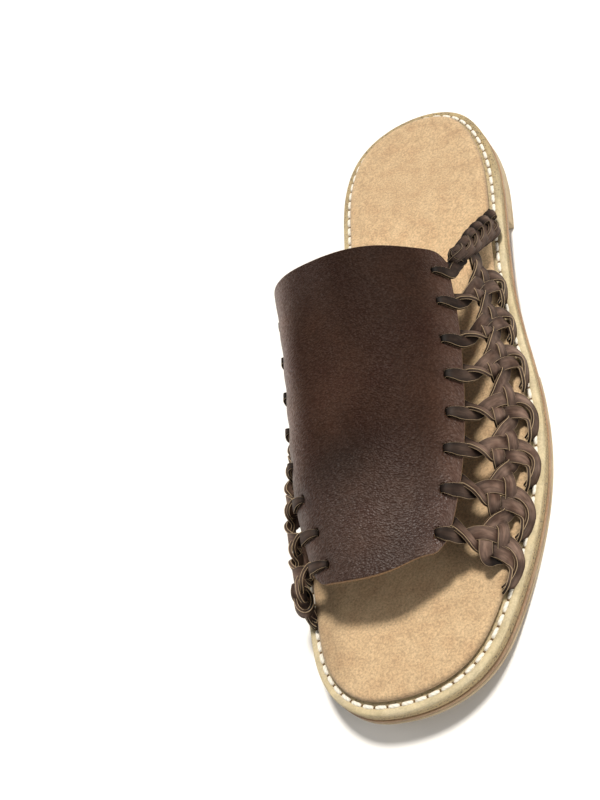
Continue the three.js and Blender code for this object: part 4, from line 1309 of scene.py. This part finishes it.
class SANDAL_OT_stage(bpy.types.Operator):
    """Sets the camera, the pale floor and the soft studio light"""
    bl_idname = "sandal.stage"
    bl_label = "Stage"

    def execute(self, context):
        scene = context.scene
        scene.view_settings.view_transform = "Standard"
        self.set_camera(scene)
        self.lay_floor(scene)
        for row in LIGHTS:
            self.hang_light(scene, *row)
        world = bpy.data.worlds.new("studio")
        world.use_nodes = True
        sky = world.node_tree
        way = node(sky, "TexCoord", "Generated")
        height = node(sky, "SeparateXYZ", "Z", {"Vector": way})
        fill = node(sky, "MapRange", "Result", {
            "Value": height, "From Min": 0.0, "From Max": 0.8, "To Min": 0.6, "To Max": 0.18})
        feed(sky, sky.nodes["Background"], {"Color": with_alpha(linear(FILL_COLOUR)), "Strength": fill})
        scene.world = world
        return {"FINISHED"}

    def set_camera(self, scene):
        data = bpy.data.cameras.new("photo_camera")
        data.sensor_width = CAMERA_SENSOR
        data.lens = CAMERA_LENS
        data.clip_start, data.clip_end = CAMERA_CLIP
        camera = bpy.data.objects.new("photo_camera", data)
        scene.collection.objects.link(camera)
        eye = (np.array(CAMERA_EYE) + LAST_TO_PART) * MM
        turn = Matrix((CAMERA_RIGHT, CAMERA_UP, CAMERA_BACK)).transposed().to_4x4()
        camera.matrix_world = Matrix.Translation(Vector(eye)) @ turn
        scene.camera = camera

    def lay_floor(self, scene):
        mesh = bpy.data.meshes.new("floor")
        corners = [(x * FLOOR_REACH, y * FLOOR_REACH, 0) for x, y in ((-1, -1), (1, -1), (1, 1), (-1, 1))]
        mesh.from_pydata(corners, [], [(0, 1, 2, 3)])
        mesh.materials.append(matt_floor("matt_white_floor", palette("floor")))
        floor = bpy.data.objects.new("floor", mesh)
        scene.collection.objects.link(floor)

    def hang_light(self, scene, name, place, width, power, tint):
        light = bpy.data.lights.new(name, "AREA")
        light.shape = "DISK"
        light.size = width
        light.energy = power
        light.color = linear(tint)
        light.specular_factor = LIGHT_SPECULAR
        lamp = bpy.data.objects.new(name, light)
        scene.collection.objects.link(lamp)
        lamp.location = place
        lamp.rotation_euler = (Vector(LIGHT_TARGET) - Vector(place)).to_track_quat("-Z", "Y").to_euler()


class SANDAL_PT_panel(bpy.types.Panel):
    """Lists the steps that build the sandal"""
    bl_idname = "SANDAL_PT_panel"
    bl_label = "Sandal"
    bl_space_type = "VIEW_3D"
    bl_region_type = "UI"
    bl_category = "Sandal"

    def draw(self, context):
        for step in STEPS:
            self.layout.operator(step.bl_idname)
        for group in (context.scene.sandal_sizes, context.scene.sandal_colours):
            for key in group.bl_rna.properties.keys():
                if key not in ("rna_type", "name"):
                    self.layout.prop(group, key)


STEPS = (SANDAL_OT_sole, SANDAL_OT_insole, SANDAL_OT_stitching, SANDAL_OT_vamp, SANDAL_OT_lacing,
         SANDAL_OT_stage)
CLASSES = (SandalSizes, SandalColours, *STEPS, SANDAL_PT_panel)


def register():
    for cls in CLASSES:
        bpy.utils.register_class(cls)
    bpy.types.Scene.sandal_sizes = bpy.props.PointerProperty(type=SandalSizes)
    bpy.types.Scene.sandal_colours = bpy.props.PointerProperty(type=SandalColours)


def unregister():
    del bpy.types.Scene.sandal_colours
    del bpy.types.Scene.sandal_sizes
    for cls in reversed(CLASSES):
        bpy.utils.unregister_class(cls)


def main():
    register()
    bpy.ops.sandal.sole()
    bpy.ops.sandal.insole()
    bpy.ops.sandal.stitching()
    bpy.ops.sandal.vamp()
    bpy.ops.sandal.lacing()
    bpy.ops.sandal.stage()


if __name__ == "__main__":
    main()
